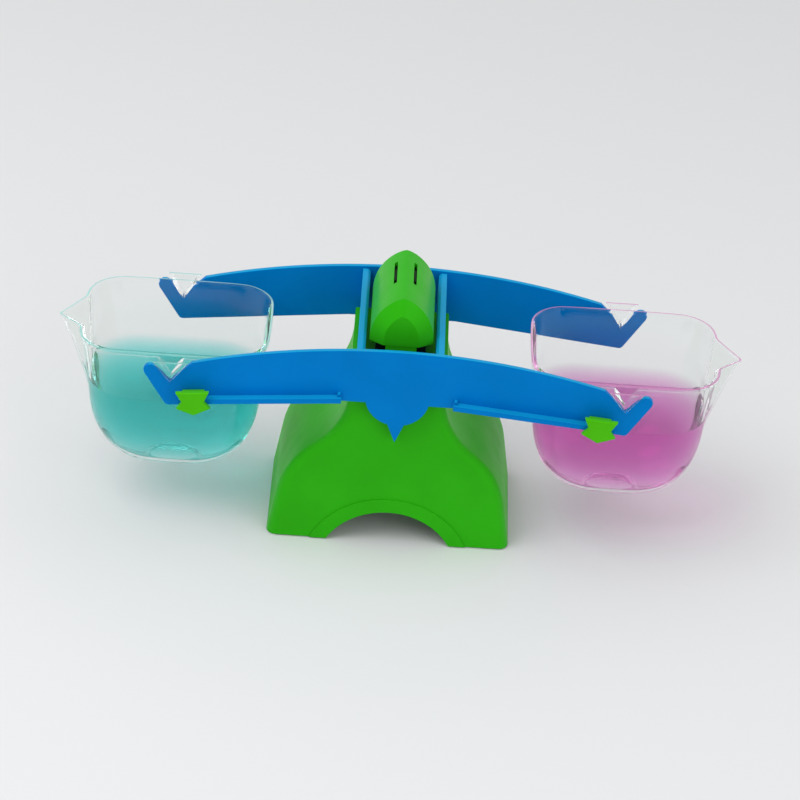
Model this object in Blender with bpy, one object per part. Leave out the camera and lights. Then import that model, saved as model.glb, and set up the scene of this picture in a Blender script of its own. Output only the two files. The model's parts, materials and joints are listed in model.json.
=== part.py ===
"""Bucket balance.

A hollow green base carries a post under an arched cap. A steel rod through the post carries two
blue beams, joined by two crossbars. A clear bucket hangs in the notches at each end of the beams,
and two green sliders on the front beam's rail set the balance to zero.

Metres, +Z up, +X towards the right bucket, +Y towards the back. The origin is on the surface that
the balance stands on, under the middle of its whole length and depth.
"""

import math

import bmesh
import bpy
from mathutils import Matrix, Vector

MM = 0.001

# Gaps and overruns
SEAT_GAP = 0.3 * MM
SLIDE_GAP = 0.4 * MM
CUT_OVERRUN = 2.0 * MM

# Beams, with their heights above or below the pivot
ARM_LENGTH = 133.0 * MM
NOTCH_DROP = 14.5 * MM
NOTCH_DEPTH = 12.8 * MM
NOTCH_HALF_ANGLE = math.radians(45.0)
BEAM_THICKNESS = 3.0 * MM
BEAM_SPACE = 96.0 * MM
BEAM_TOP_RISE = 14.7 * MM
BEAM_BOTTOM_DROP = 20.7 * MM
BEAM_EDGE_ROUND = 0.5 * MM
HOOK_TIP_RADIUS = 4.0 * MM
HOOK_TIP_RISE = 6.0 * MM
HOOK_FOOT_RADIUS = 3.0 * MM
HOOK_FOOT_REACH = 0.4 * MM
HOOK_FOOT_DROP = 31.6 * MM
HUB_RADIUS = 18.8 * MM
HUB_DROP = 16.8 * MM
POINTER_TIP_DROP = 47.2 * MM
POINTER_HALF_WIDTH = 4.9 * MM
TILT_LIMIT = math.radians(8.0)

# Pivot, above the top of the base's neck
PIVOT_RISE = 10.0 * MM
ROD_DIAMETER = 5.0 * MM
ROD_SOCKET_DEPTH = 1.4 * MM
BOSS_DIAMETER = 13.0 * MM
BOSS_LENGTH = 8.0 * MM
BUSHING_DIAMETER = 9.0 * MM
BUSHING_LENGTH = 8.0 * MM
BUSHING_FLANGE_DIAMETER = 11.4 * MM
BUSHING_FLANGE_THICKNESS = 1.2 * MM

# Rail on the front beam
RAIL_START = 32.5 * MM
RAIL_END = 127.0 * MM
RAIL_SLOPE = math.radians(5.0)
LEDGE_DEPTH = 5.8 * MM
LEDGE_THICKNESS = 2.4 * MM
LEDGE_LIP_HEIGHT = 0.8 * MM
LEDGE_LIP_THICKNESS = 1.0 * MM
LEDGE_ROOT = 1.5 * MM
LEDGE_RISE = 1.9 * MM
RAIL_STOP_LENGTH = 1.6 * MM
RAIL_STOP_HEIGHT = 2.0 * MM
RAIL_STOP_DEPTH = 3.0 * MM

# Sliders
SLIDER_TOP_WIDTH = 19.4 * MM
SLIDER_WAIST_WIDTH = 13.0 * MM
SLIDER_FLARE_WIDTH = 20.0 * MM
SLIDER_GRIP_HEIGHT = 11.6 * MM
SLIDER_WAIST_HEIGHT = 5.0 * MM
SLIDER_FLARE_HEIGHT = 0.8 * MM
SLIDER_TIP_DROP = 3.8 * MM
SLIDER_PLATE_THICKNESS = 3.4 * MM
SLIDER_JAW_RISE = 3.2 * MM
SLIDER_JAW_DROP = 1.6 * MM
SLIDER_EDGE_ROUND = 0.6 * MM

# Crossbars
CROSSBAR_INNER = 20.6 * MM
CROSSBAR_WIDTH = 4.8 * MM
CROSSBAR_TOP_DROP = 2.0 * MM
CROSSBAR_CHAMFER = 1.5 * MM
PEG_THICKNESS = 2.0 * MM
PEG_HEIGHT = 11.0 * MM
PEG_LENGTH = 1.7 * MM

# Base shell
BASE_HALF_WIDTH = 73.0 * MM
BASE_DEPTH = 88.0 * MM
BASE_WALL = 2.6 * MM
BASE_EDGE_ROUND = 6.0 * MM
NECK_TOP_HEIGHT = 113.5 * MM
NECK_LENGTH = 9.2 * MM
NECK_HALF_WIDTH = 28.3 * MM
NECK_RADIUS = 51.0 * MM
NECK_TURN = math.radians(52.0)
SHOULDER_RADIUS = 55.0 * MM
ARCH_HALF_WIDTH = 36.9 * MM
ARCH_HEIGHT = 21.4 * MM
ARCH_BAND_WIDTH = 9.0 * MM
ARCH_BAND_PROUD = 0.8 * MM

# Foot pads
PAD_DIAMETER = 9.0 * MM
PAD_THICKNESS = 2.2 * MM
PAD_PROUD = 0.8 * MM
PAD_BOSS_DIAMETER = 14.4 * MM
PAD_BOSS_HEIGHT = 6.0 * MM
PAD_INSET = 9.0 * MM

# Head cap: its arch springs above the pivot, and its ridge and skirt lie above and below that line
CAP_HALF_WIDTH = 18.7 * MM
CAP_SPRING_RISE = 10.0 * MM
CAP_RIDGE_RISE = 28.0 * MM
CAP_SKIRT_DROP = 1.0 * MM
CAP_LENGTH = 57.6 * MM
CAP_WALL = 2.4 * MM
CAP_END_REACH = 5.4 * MM
CAP_END_HALF_WIDTH = 10.5 * MM
CAP_END_RIDGE_DROP = 9.0 * MM
CAP_TONGUE_THICKNESS = 2.4 * MM
CAP_TONGUE_RECESS = 0.4 * MM
CAP_TONGUE_INSET = 1.4 * MM
CAP_SLOT_PLACE = 5.8 * MM
CAP_SLOT_WIDTH = 1.8 * MM
CAP_SLOT_LENGTH = 24.6 * MM
CAP_SLOT_SHIFT = 5.5 * MM
CAP_ARCH_POWER = 2.2
CAP_ROOT_POWER = 0.7
CAP_STEP_POWER = 1.6

# Pivot post
POST_HALF_WIDTH = 9.0 * MM
POST_FOOT_HALF_WIDTH = 15.0 * MM
POST_FOOT_THICKNESS = 3.0 * MM
SNAP_LENGTH = 12.0 * MM
SNAP_RECESS = 1.6 * MM

# Screws
POST_SCREW_PLACE = 12.0 * MM
POST_SCREW_DIAMETER = 3.4 * MM
POST_SCREW_HEAD_DIAMETER = 6.6 * MM
POST_SCREW_HEAD_HEIGHT = 2.4 * MM
POST_SCREW_GRIP = 4.2 * MM
BEAM_SCREW_DIAMETER = 2.4 * MM
BEAM_SCREW_HEAD_DIAMETER = 5.0 * MM
BEAM_SCREW_HEAD_HEIGHT = 1.3 * MM
BEAM_SCREW_GRIP = 11.0 * MM
BEAM_SCREW_INSET = 4.5 * MM
SCREW_CROSS_SHARE = 0.6
SCREW_SLOT_SHARE = 0.17

# Buckets
BUCKET_LENGTH = 112.4 * MM
BUCKET_WIDTH = 88.6 * MM
BUCKET_HEIGHT = 91.5 * MM
BUCKET_RIM_RISE = 12.8 * MM
BUCKET_WALL = 1.8 * MM
BUCKET_LIP_WIDTH = 1.4 * MM
BUCKET_LIP_THICKNESS = 2.2 * MM
BUCKET_CORNER_RADIUS = 22.0 * MM
BUCKET_TURN_CORNER_RADIUS = 30.0 * MM
BUCKET_TURN_HEIGHT = 50.0 * MM
BUCKET_TURN_POWER = 2.2
BUCKET_BASE_LENGTH = 36.0 * MM
BUCKET_BASE_WIDTH = 28.0 * MM
BUCKET_BASE_CORNER_RADIUS = 13.0 * MM
BUCKET_END_DRAFT = math.radians(3.8)
BUCKET_SIDE_DRAFT = math.radians(5.5)
SPOUT_REACH = 13.8 * MM
SPOUT_HALF_WIDTH = 16.7 * MM
SPOUT_DEPTH = 53.0 * MM
SPOUT_DIP = 3.0 * MM
SPOUT_TIP_HALF_WIDTH = 1.2 * MM
SPOUT_ROUND = 1.4 * MM
SPOUT_TIP_SHARE = 0.9
SPOUT_FOOT_SHARE = 0.08
LUG_HALF_ANGLE = math.radians(32.0)
LUG_TIP_RADIUS = 0.6 * MM
LUG_PLATE_HALF_ANGLE = math.radians(36.5)
LUG_PLATE_THICKNESS = 1.3 * MM
LUG_PLATE_TIP_RADIUS = 1.3 * MM
LUG_TOP_DROP = 0.4 * MM

# Counts
TOP_ARC_STEPS = 14
HUB_ARC_STEPS = 10
CORNER_STEPS = 5
BELL_STEPS = 9
ROUND_STEPS = 4
ARCH_STEPS = 14
TURN_STEPS = 24
BUCKET_CORNER_STEPS = 6
BUCKET_TURN_STEPS = 8
SPOUT_STEPS = 4

# Places worked out from the sizes above
BEAM_INNER = BEAM_SPACE / 2
BEAM_OUTER = BEAM_INNER + BEAM_THICKNESS
BASE_BOTTOM = PAD_PROUD
NECK_FOOT_HEIGHT = NECK_TOP_HEIGHT - NECK_LENGTH
PIVOT_HEIGHT = NECK_TOP_HEIGHT + PIVOT_RISE
NOTCH_HEIGHT = PIVOT_HEIGHT - NOTCH_DROP
BEAM_TOP_HEIGHT = PIVOT_HEIGHT + BEAM_TOP_RISE
BEAM_BOTTOM_HEIGHT = PIVOT_HEIGHT - BEAM_BOTTOM_DROP
HOOK_FOOT_HEIGHT = PIVOT_HEIGHT - HOOK_FOOT_DROP
HUB_HEIGHT = PIVOT_HEIGHT - HUB_DROP
POINTER_TIP_HEIGHT = PIVOT_HEIGHT - POINTER_TIP_DROP
CAP_SPRING_HEIGHT = PIVOT_HEIGHT + CAP_SPRING_RISE
CAP_RIDGE_HEIGHT = CAP_SPRING_HEIGHT + CAP_RIDGE_RISE
CAP_BOTTOM_HEIGHT = CAP_SPRING_HEIGHT - CAP_SKIRT_DROP
CAP_HALF_LENGTH = CAP_LENGTH / 2
CAP_FACE = CAP_HALF_LENGTH + CAP_END_REACH
CAP_INNER_HALF_LENGTH = CAP_HALF_LENGTH - CAP_WALL
POST_HALF_LENGTH = CAP_INNER_HALF_LENGTH - SEAT_GAP
POST_BOTTOM = NECK_TOP_HEIGHT + SEAT_GAP
CROSSBAR_OUTER = CROSSBAR_INNER + CROSSBAR_WIDTH
CROSSBAR_TOP = BEAM_TOP_HEIGHT - CROSSBAR_TOP_DROP
RIM_HEIGHT = NOTCH_HEIGHT + BUCKET_RIM_RISE
BUCKET_AXIS_HEIGHT = NOTCH_HEIGHT + (LUG_TIP_RADIUS + SEAT_GAP) / math.sin(NOTCH_HALF_ANGLE)


def clear_scene():
    for obj in list(bpy.data.objects):
        bpy.data.objects.remove(obj)


def linear(hex_colour):
    """Turn an sRGB hex colour into linear red, green and blue."""
    channels = [int(hex_colour[i:i + 2], 16) / 255 for i in (0, 2, 4)]
    return [c / 12.92 if c <= 0.04045 else ((c + 0.055) / 1.055) ** 2.4 for c in channels]


def make_material(name, hex_colour, roughness, metallic=0.0, transmission=0.0):
    material = bpy.data.materials.new(name)
    material.use_nodes = True
    shader = material.node_tree.nodes["Principled BSDF"]
    shader.inputs["Base Color"].default_value = (*linear(hex_colour), 1.0)
    shader.inputs["Roughness"].default_value = roughness
    shader.inputs["Metallic"].default_value = metallic
    shader.inputs["Transmission Weight"].default_value = transmission
    return material


def make_axis(name, place, parent=None):
    """Add an empty on a joint's axis."""
    empty = bpy.data.objects.new(name, None)
    bpy.context.collection.objects.link(empty)
    empty.location = place
    if parent is not None:
        empty.parent = parent
        empty.location = place - parent.matrix_world.translation
    bpy.context.view_layer.update()
    return empty


def make_object(name, bm, material=None, axis=None):
    """Turn a bmesh in world places into an object whose origin is on its axis."""
    bmesh.ops.recalc_face_normals(bm, faces=bm.faces)
    if axis is not None:
        bmesh.ops.translate(bm, vec=-axis.matrix_world.translation, verts=bm.verts)
    mesh = bpy.data.meshes.new(name)
    bm.to_mesh(mesh)
    bm.free()
    obj = bpy.data.objects.new(name, mesh)
    bpy.context.collection.objects.link(obj)
    if material is not None:
        mesh.materials.append(material)
    if axis is not None:
        obj.parent = axis
    mesh.shade_smooth()
    mesh.set_sharp_from_angle(angle=math.radians(35.0))
    return obj


def shape_with(obj, bm, operation):
    """Cut a helper solid out of an object, or join it on."""
    helper = make_object(obj.name + "_tool", bm, axis=obj.parent)
    helper.hide_render = True
    helper.display_type = "WIRE"
    modifier = obj.modifiers.new(operation.lower(), "BOOLEAN")
    modifier.operation = operation
    modifier.solver = "EXACT"
    modifier.object = helper


def arc(centre, radius, start, end, steps):
    """Points in the XZ plane on an arc, both ends included."""
    points = []
    for step in range(steps + 1):
        angle = start + (end - start) * step / steps
        points.append((centre[0] + radius * math.cos(angle), centre[1] + radius * math.sin(angle)))
    return points


def mirrored(points):
    """The same outline on the other side of X = 0, in reverse order."""
    return [(-x, z) for x, z in reversed(points)]


def box(x_range, y_range, z_range):
    bm = bmesh.new()
    bmesh.ops.create_cube(bm, size=1.0)
    size = [high - low for low, high in (x_range, y_range, z_range)]
    middle = [(high + low) / 2 for low, high in (x_range, y_range, z_range)]
    bmesh.ops.scale(bm, vec=size, verts=bm.verts)
    bmesh.ops.translate(bm, vec=middle, verts=bm.verts)
    return bm


def prism(outline, y_from, y_to):
    """Extrude an outline in the XZ plane along Y."""
    return lofted([[(x, y, z) for x, z in outline] for y in (y_from, y_to)])


def lofted(rings):
    """Extrude a closed ring of points through the other rings into one closed skin."""
    bm = bmesh.new()
    verts = [bm.verts.new(point) for point in rings[0]]
    edges = [bm.edges.new(pair) for pair in zip(verts, verts[1:] + verts[:1])]
    bm.faces.new(verts)
    for ring in rings[1:]:
        grown = set(bmesh.ops.extrude_edge_only(bm, edges=edges)["geom"])
        verts = [next(edge.other_vert(vert) for edge in vert.link_edges if edge.other_vert(vert) in grown)
                 for vert in verts]
        for vert, point in zip(verts, ring):
            vert.co = point
        edges = [bm.edges.get(pair) for pair in zip(verts, verts[1:] + verts[:1])]
    bm.faces.new(verts)
    bmesh.ops.recalc_face_normals(bm, faces=bm.faces)
    return bm


def turned(profile, place, direction, steps=TURN_STEPS):
    """Turn a profile of (radius, distance) points about a line along a direction."""
    bm = bmesh.new()
    verts = [bm.verts.new((radius, 0, distance)) for radius, distance in profile]
    pairs = list(zip(verts, verts[1:]))
    if profile[0][0] > 0:
        pairs.append((verts[-1], verts[0]))
    edges = [bm.edges.new(pair) for pair in pairs]
    bmesh.ops.spin(bm, geom=verts + edges, cent=(0, 0, 0), axis=(0, 0, 1), angle=math.tau,
                   steps=steps, use_merge=True)
    bmesh.ops.remove_doubles(bm, verts=bm.verts, dist=SEAT_GAP / 100)
    turn = Vector((0, 0, 1)).rotation_difference(Vector(direction)).to_matrix().to_4x4()
    bmesh.ops.transform(bm, matrix=Matrix.Translation(place) @ turn, verts=bm.verts)
    bmesh.ops.recalc_face_normals(bm, faces=bm.faces)
    return bm


def cylinder(diameter, place, direction, length):
    radius = diameter / 2
    return turned([(0, 0), (radius, 0), (radius, length), (0, length)], place, direction)


def round_long_edges(bm, width, direction_limit=0.5):
    """Round the edges of a prism along Y that bound its two flat ends."""
    ends = [face for face in bm.faces if abs(face.normal.y) > direction_limit]
    edges = {edge for face in ends for edge in face.edges}
    bmesh.ops.bevel(bm, geom=list(edges), offset=width, offset_type="OFFSET", segments=2,
                    profile=0.5, affect="EDGES", clamp_overlap=True)
    return bm


def beam_top_arc():
    """Centre height, radius and half angle of the beams' arched top edge."""
    half_chord = ARM_LENGTH - NOTCH_DEPTH * math.tan(NOTCH_HALF_ANGLE)
    rise = BEAM_TOP_HEIGHT - (NOTCH_HEIGHT + NOTCH_DEPTH)
    radius = (half_chord ** 2 + rise ** 2) / (2 * rise)
    return BEAM_TOP_HEIGHT - radius, radius, math.asin(half_chord / radius)


def hook_tip_centre():
    along = (HOOK_TIP_RISE + HOOK_TIP_RADIUS * math.sin(NOTCH_HALF_ANGLE)) / math.cos(NOTCH_HALF_ANGLE)
    x = along * math.sin(NOTCH_HALF_ANGLE) + HOOK_TIP_RADIUS * math.cos(NOTCH_HALF_ANGLE)
    return ARM_LENGTH + x, NOTCH_HEIGHT + HOOK_TIP_RISE


def hook_foot_centre():
    return ARM_LENGTH + HOOK_FOOT_REACH, HOOK_FOOT_HEIGHT + HOOK_FOOT_RADIUS


def tangent_angle(first, first_radius, second, second_radius):
    """Direction from two circles' centres to the line that touches both on their +X side."""
    reach = math.hypot(second[0] - first[0], second[1] - first[1])
    bearing = math.atan2(second[1] - first[1], second[0] - first[0])
    return bearing + math.acos((first_radius - second_radius) / reach)


def beam_outline():
    """Outline of a beam seen from the front: arched top, notches, hooks, hub and pointer."""
    top_centre, top_radius, top_half_angle = beam_top_arc()
    upright = math.pi / 2
    points = arc((0, top_centre), top_radius, upright, upright - top_half_angle, TOP_ARC_STEPS)
    points.append((ARM_LENGTH, NOTCH_HEIGHT))
    tip = hook_tip_centre()
    foot = hook_foot_centre()
    outer = tangent_angle(tip, HOOK_TIP_RADIUS, foot, HOOK_FOOT_RADIUS)
    points += arc(tip, HOOK_TIP_RADIUS, math.pi - NOTCH_HALF_ANGLE, outer, CORNER_STEPS)
    edge_slope = math.atan2(BEAM_BOTTOM_HEIGHT - HOOK_FOOT_HEIGHT, foot[0] - RAIL_START)
    points += arc(foot, HOOK_FOOT_RADIUS, outer, -upright - edge_slope, CORNER_STEPS)
    points.append((RAIL_START, BEAM_BOTTOM_HEIGHT))
    hub_start = math.asin((BEAM_BOTTOM_HEIGHT - HUB_HEIGHT) / HUB_RADIUS)
    hub_end = -math.acos(POINTER_HALF_WIDTH / HUB_RADIUS)
    points += arc((0, HUB_HEIGHT), HUB_RADIUS, hub_start, hub_end, HUB_ARC_STEPS)
    points.append((0, POINTER_TIP_HEIGHT))
    return points + mirrored(points[1:-1])


def make_beam(name, side, material, axis):
    """A beam plate with a boss that holds the rod's end; side is -1 at the front, 1 at the back."""
    faces = sorted((side * BEAM_INNER, side * BEAM_OUTER))
    beam = make_object(name, round_long_edges(prism(beam_outline(), *faces), BEAM_EDGE_ROUND), material, axis)
    inwards = (0, -side, 0)
    boss_root = Vector((0, side * (BEAM_INNER + BEAM_THICKNESS / 2), PIVOT_HEIGHT))
    shape_with(beam, cylinder(BOSS_DIAMETER, boss_root, inwards, BOSS_LENGTH + BEAM_THICKNESS / 2), "UNION")
    socket = Vector((0, side * (BEAM_INNER + ROD_SOCKET_DEPTH), PIVOT_HEIGHT))
    depth = ROD_SOCKET_DEPTH + BOSS_LENGTH + CUT_OVERRUN
    shape_with(beam, cylinder(ROD_DIAMETER + 2 * SEAT_GAP, socket, inwards, depth), "DIFFERENCE")
    return beam


def on_rail(bm, side):
    """Move a solid from the rail's own frame to the front beam; side is -1 left, 1 right."""
    bmesh.ops.rotate(bm, cent=(0, 0, 0), matrix=Matrix.Rotation(RAIL_SLOPE, 3, "Y"), verts=bm.verts)
    start = (RAIL_START, -BEAM_OUTER, BEAM_BOTTOM_HEIGHT)
    bmesh.ops.translate(bm, vec=start, verts=bm.verts)
    bmesh.ops.scale(bm, vec=(side, 1, 1), verts=bm.verts)
    bmesh.ops.recalc_face_normals(bm, faces=bm.faces)
    return bm


def rail_length():
    return (RAIL_END - RAIL_START) / math.cos(RAIL_SLOPE)


def run_along_rail(section, x_from, x_to):
    """Extrude a section of (distance out from the beam, height) points along the rail."""
    return lofted([[(x, -out, height) for out, height in section] for x in (x_from, x_to)])


def add_rail(beam, side):
    """The ledge with its lip, and a stop at each end."""
    top = LEDGE_RISE + LEDGE_THICKNESS
    ledge = [(-LEDGE_ROOT, LEDGE_RISE), (LEDGE_DEPTH, LEDGE_RISE), (LEDGE_DEPTH, top + LEDGE_LIP_HEIGHT),
             (LEDGE_DEPTH - LEDGE_LIP_THICKNESS, top + LEDGE_LIP_HEIGHT),
             (LEDGE_DEPTH - LEDGE_LIP_THICKNESS, top), (-LEDGE_ROOT, top)]
    shape_with(beam, on_rail(run_along_rail(ledge, 0, rail_length()), side), "UNION")
    middle = LEDGE_RISE + LEDGE_THICKNESS / 2
    stop = [(-LEDGE_ROOT, middle), (RAIL_STOP_DEPTH, middle), (RAIL_STOP_DEPTH, top + RAIL_STOP_HEIGHT),
            (-LEDGE_ROOT, top + RAIL_STOP_HEIGHT)]
    for x in (SEAT_GAP, rail_length() - RAIL_STOP_LENGTH - SEAT_GAP):
        shape_with(beam, on_rail(run_along_rail(stop, x, x + RAIL_STOP_LENGTH), side), "UNION")


def slider_rest():
    """Place of a slider's middle along the rail, at its outer stop."""
    return rail_length() - SEAT_GAP - RAIL_STOP_LENGTH - SLIDE_GAP - SLIDER_WAIST_WIDTH / 2


def slider_outline():
    """Front of a slider: wide grip, waist at the rail, flare with a point below it."""
    right = [(SLIDER_TOP_WIDTH / 2, SLIDER_GRIP_HEIGHT),
             (SLIDER_WAIST_WIDTH / 2, SLIDER_WAIST_HEIGHT),
             (SLIDER_FLARE_WIDTH / 2, SLIDER_FLARE_HEIGHT),
             (0, -SLIDER_TIP_DROP)]
    return right + mirrored(right[:-1])


def make_slider(name, side, material, axis):
    """A clip whose jaws close over the rail's ledge and lip."""
    middle = slider_rest()
    plate_back = LEDGE_DEPTH + SLIDE_GAP
    plate_front = plate_back + SLIDER_PLATE_THICKNESS
    outline = [(middle + x, z) for x, z in slider_outline()]
    plate = round_long_edges(prism(outline, -plate_front, -plate_back), SLIDER_EDGE_ROUND)
    slider = make_object(name, on_rail(plate, side), material, axis)
    root = plate_back + SLIDER_PLATE_THICKNESS / 2
    ledge_top = LEDGE_RISE + LEDGE_THICKNESS
    lip_top = ledge_top + LEDGE_LIP_HEIGHT + SLIDE_GAP
    lip_back = LEDGE_DEPTH - LEDGE_LIP_THICKNESS - SLIDE_GAP
    upper_jaw = [(root, lip_top), (lip_back, lip_top), (lip_back, ledge_top + SLIDE_GAP),
                 (SLIDE_GAP, ledge_top + SLIDE_GAP), (SLIDE_GAP, lip_top + SLIDER_JAW_RISE),
                 (root, lip_top + SLIDER_JAW_RISE)]
    lower_jaw = [(root, LEDGE_RISE - SLIDE_GAP), (SLIDE_GAP, LEDGE_RISE - SLIDE_GAP),
                 (SLIDE_GAP, LEDGE_RISE - SLIDE_GAP - SLIDER_JAW_DROP),
                 (root, LEDGE_RISE - SLIDE_GAP - SLIDER_JAW_DROP)]
    half_widths = (SLIDER_WAIST_WIDTH / 2, SLIDER_WAIST_WIDTH / 3)
    for jaw, half in zip((upper_jaw, lower_jaw), half_widths):
        shape_with(slider, on_rail(run_along_rail(jaw, middle - half, middle + half), side), "UNION")
    return slider


def crossbar_bottom():
    """The crossbars come down on the neck just past the tilt limit."""
    drop = PIVOT_HEIGHT - NECK_TOP_HEIGHT - SEAT_GAP - CROSSBAR_OUTER * math.sin(TILT_LIMIT)
    return PIVOT_HEIGHT - drop / math.cos(TILT_LIMIT)


def crossbar_middle():
    return (crossbar_bottom() + CROSSBAR_TOP) / 2


def beam_screw_heights():
    return crossbar_bottom() + BEAM_SCREW_INSET, CROSSBAR_TOP - BEAM_SCREW_INSET


def peg_box(side, grow):
    """The peg at a crossbar's front end, grown for its socket."""
    x = side * (CROSSBAR_INNER + CROSSBAR_WIDTH / 2)
    half = PEG_THICKNESS / 2 + grow
    half_height = PEG_HEIGHT / 2 + grow
    ends = (-BEAM_INNER - PEG_LENGTH - grow, -BEAM_INNER + PEG_LENGTH)
    z = crossbar_middle()
    return box((x - half, x + half), ends, (z - half_height, z + half_height))


def make_crossbar(name, side, material, axis):
    """A bar between the beams beside the cap, pegged in front and screwed behind."""
    bottom = crossbar_bottom()
    section = [(CROSSBAR_INNER, bottom), (CROSSBAR_OUTER, bottom), (CROSSBAR_OUTER, CROSSBAR_TOP),
               (CROSSBAR_INNER + CROSSBAR_CHAMFER, CROSSBAR_TOP),
               (CROSSBAR_INNER, CROSSBAR_TOP - CROSSBAR_CHAMFER)]
    end = BEAM_INNER - SEAT_GAP
    bar = make_object(name, prism([(side * x, z) for x, z in section], -end, end), material, axis)
    shape_with(bar, peg_box(side, 0), "UNION")
    x = side * (CROSSBAR_INNER + CROSSBAR_WIDTH / 2)
    for z in beam_screw_heights():
        mouth = Vector((x, end + CUT_OVERRUN, z))
        depth = BEAM_SCREW_GRIP + SEAT_GAP + CUT_OVERRUN
        hole = cylinder(BEAM_SCREW_DIAMETER + 2 * SEAT_GAP, mouth, (0, -1, 0), depth)
        shape_with(bar, hole, "DIFFERENCE")
    return bar


def screw_holes(beam):
    """Holes through the rear beam for the crossbars' screws."""
    for side in (-1, 1):
        x = side * (CROSSBAR_INNER + CROSSBAR_WIDTH / 2)
        for z in beam_screw_heights():
            start = Vector((x, BEAM_INNER - CUT_OVERRUN, z))
            length = BEAM_THICKNESS + 2 * CUT_OVERRUN
            hole = cylinder(BEAM_SCREW_DIAMETER + 2 * SEAT_GAP, start, (0, 1, 0), length)
            shape_with(beam, hole, "DIFFERENCE")


def make_screw(name, head_top, direction, diameter, head_diameter, head_height, length, material, axis=None):
    """A pan-head screw with a cross recess; direction points from its head to its tip."""
    radius = diameter / 2
    head = head_diameter / 2
    shoulder = head_height / 4
    profile = [(0, 0), (head - shoulder, 0), (head, shoulder), (head, head_height), (radius, head_height),
               (radius, head_height + length - diameter), (0, head_height + length)]
    screw = make_object(name, turned(profile, head_top, direction), material, axis)
    arm = head * SCREW_CROSS_SHARE
    slot = head * SCREW_SLOT_SHARE
    turn = Vector((0, 0, 1)).rotation_difference(Vector(direction)).to_matrix().to_4x4()
    outline = [(slot, slot), (arm, slot), (arm, -slot), (slot, -slot), (slot, -arm), (-slot, -arm),
               (-slot, -slot), (-arm, -slot), (-arm, slot), (-slot, slot), (-slot, arm), (slot, arm)]
    rings = [[(x, y, z) for x, y in outline] for z in (-head_height, head_height / 2)]
    recess = lofted(rings)
    bmesh.ops.transform(recess, matrix=Matrix.Translation(head_top) @ turn, verts=recess.verts)
    shape_with(screw, recess, "DIFFERENCE")
    return screw


def arch_circle():
    """Centre height and radius of the arch cut out of the base."""
    radius = (ARCH_HALF_WIDTH ** 2 + ARCH_HEIGHT ** 2) / (2 * ARCH_HEIGHT)
    return BASE_BOTTOM + ARCH_HEIGHT - radius, radius


def neck_centre():
    """Centre of the hollow curve between the neck and the shoulder."""
    return NECK_HALF_WIDTH + NECK_RADIUS, NECK_FOOT_HEIGHT


def shoulder_centre():
    """Centre of the round shoulder that the hollow curve runs into."""
    x, z = neck_centre()
    reach = NECK_RADIUS + SHOULDER_RADIUS
    return x - reach * math.cos(NECK_TURN), z - reach * math.sin(NECK_TURN)


def flank_draft():
    """Slope of the flank from the shoulder down to the base's bottom corner."""
    x, z = shoulder_centre()
    reach = math.hypot(BASE_HALF_WIDTH - x, BASE_BOTTOM - z)
    return math.atan2(BASE_BOTTOM - z, BASE_HALF_WIDTH - x) + math.acos(SHOULDER_RADIUS / reach)


def bell_outline(inset, foot):
    """Outline of the base seen from the front, drawn in by an inset except at its foot."""
    draft = flank_draft()
    shoulder = arc(shoulder_centre(), SHOULDER_RADIUS - inset, draft, NECK_TURN, BELL_STEPS)
    neck = arc(neck_centre(), NECK_RADIUS + inset, math.pi + NECK_TURN, math.pi, BELL_STEPS)
    fall = shoulder[0][1] - foot
    right = [(shoulder[0][0] + fall * math.tan(draft), foot)]
    right += shoulder + neck[1:]
    right.append((NECK_HALF_WIDTH - inset, NECK_TOP_HEIGHT - inset))
    return right + mirrored(right)


def bell_solid(inset, foot):
    """The bell outline carried from front to back, with rounded front and back edges."""
    half_depth = BASE_DEPTH / 2 - inset
    edge_round = BASE_EDGE_ROUND - inset
    stations = []
    for step in range(ROUND_STEPS + 1):
        angle = math.pi / 2 * step / ROUND_STEPS
        stations.append((half_depth - edge_round * (1 - math.cos(angle)), edge_round * (1 - math.sin(angle))))
    front = [(-y, drawn_in) for y, drawn_in in stations]
    rings = []
    for y, drawn_in in front + stations[::-1]:
        rings.append([(x, y, z) for x, z in bell_outline(inset + drawn_in, foot)])
    return lofted(rings)


def pad_places():
    x = BASE_HALF_WIDTH - PAD_INSET
    y = BASE_DEPTH / 2 - PAD_INSET
    return [(-x, -y), (x, -y), (-x, y), (x, y)]


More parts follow.
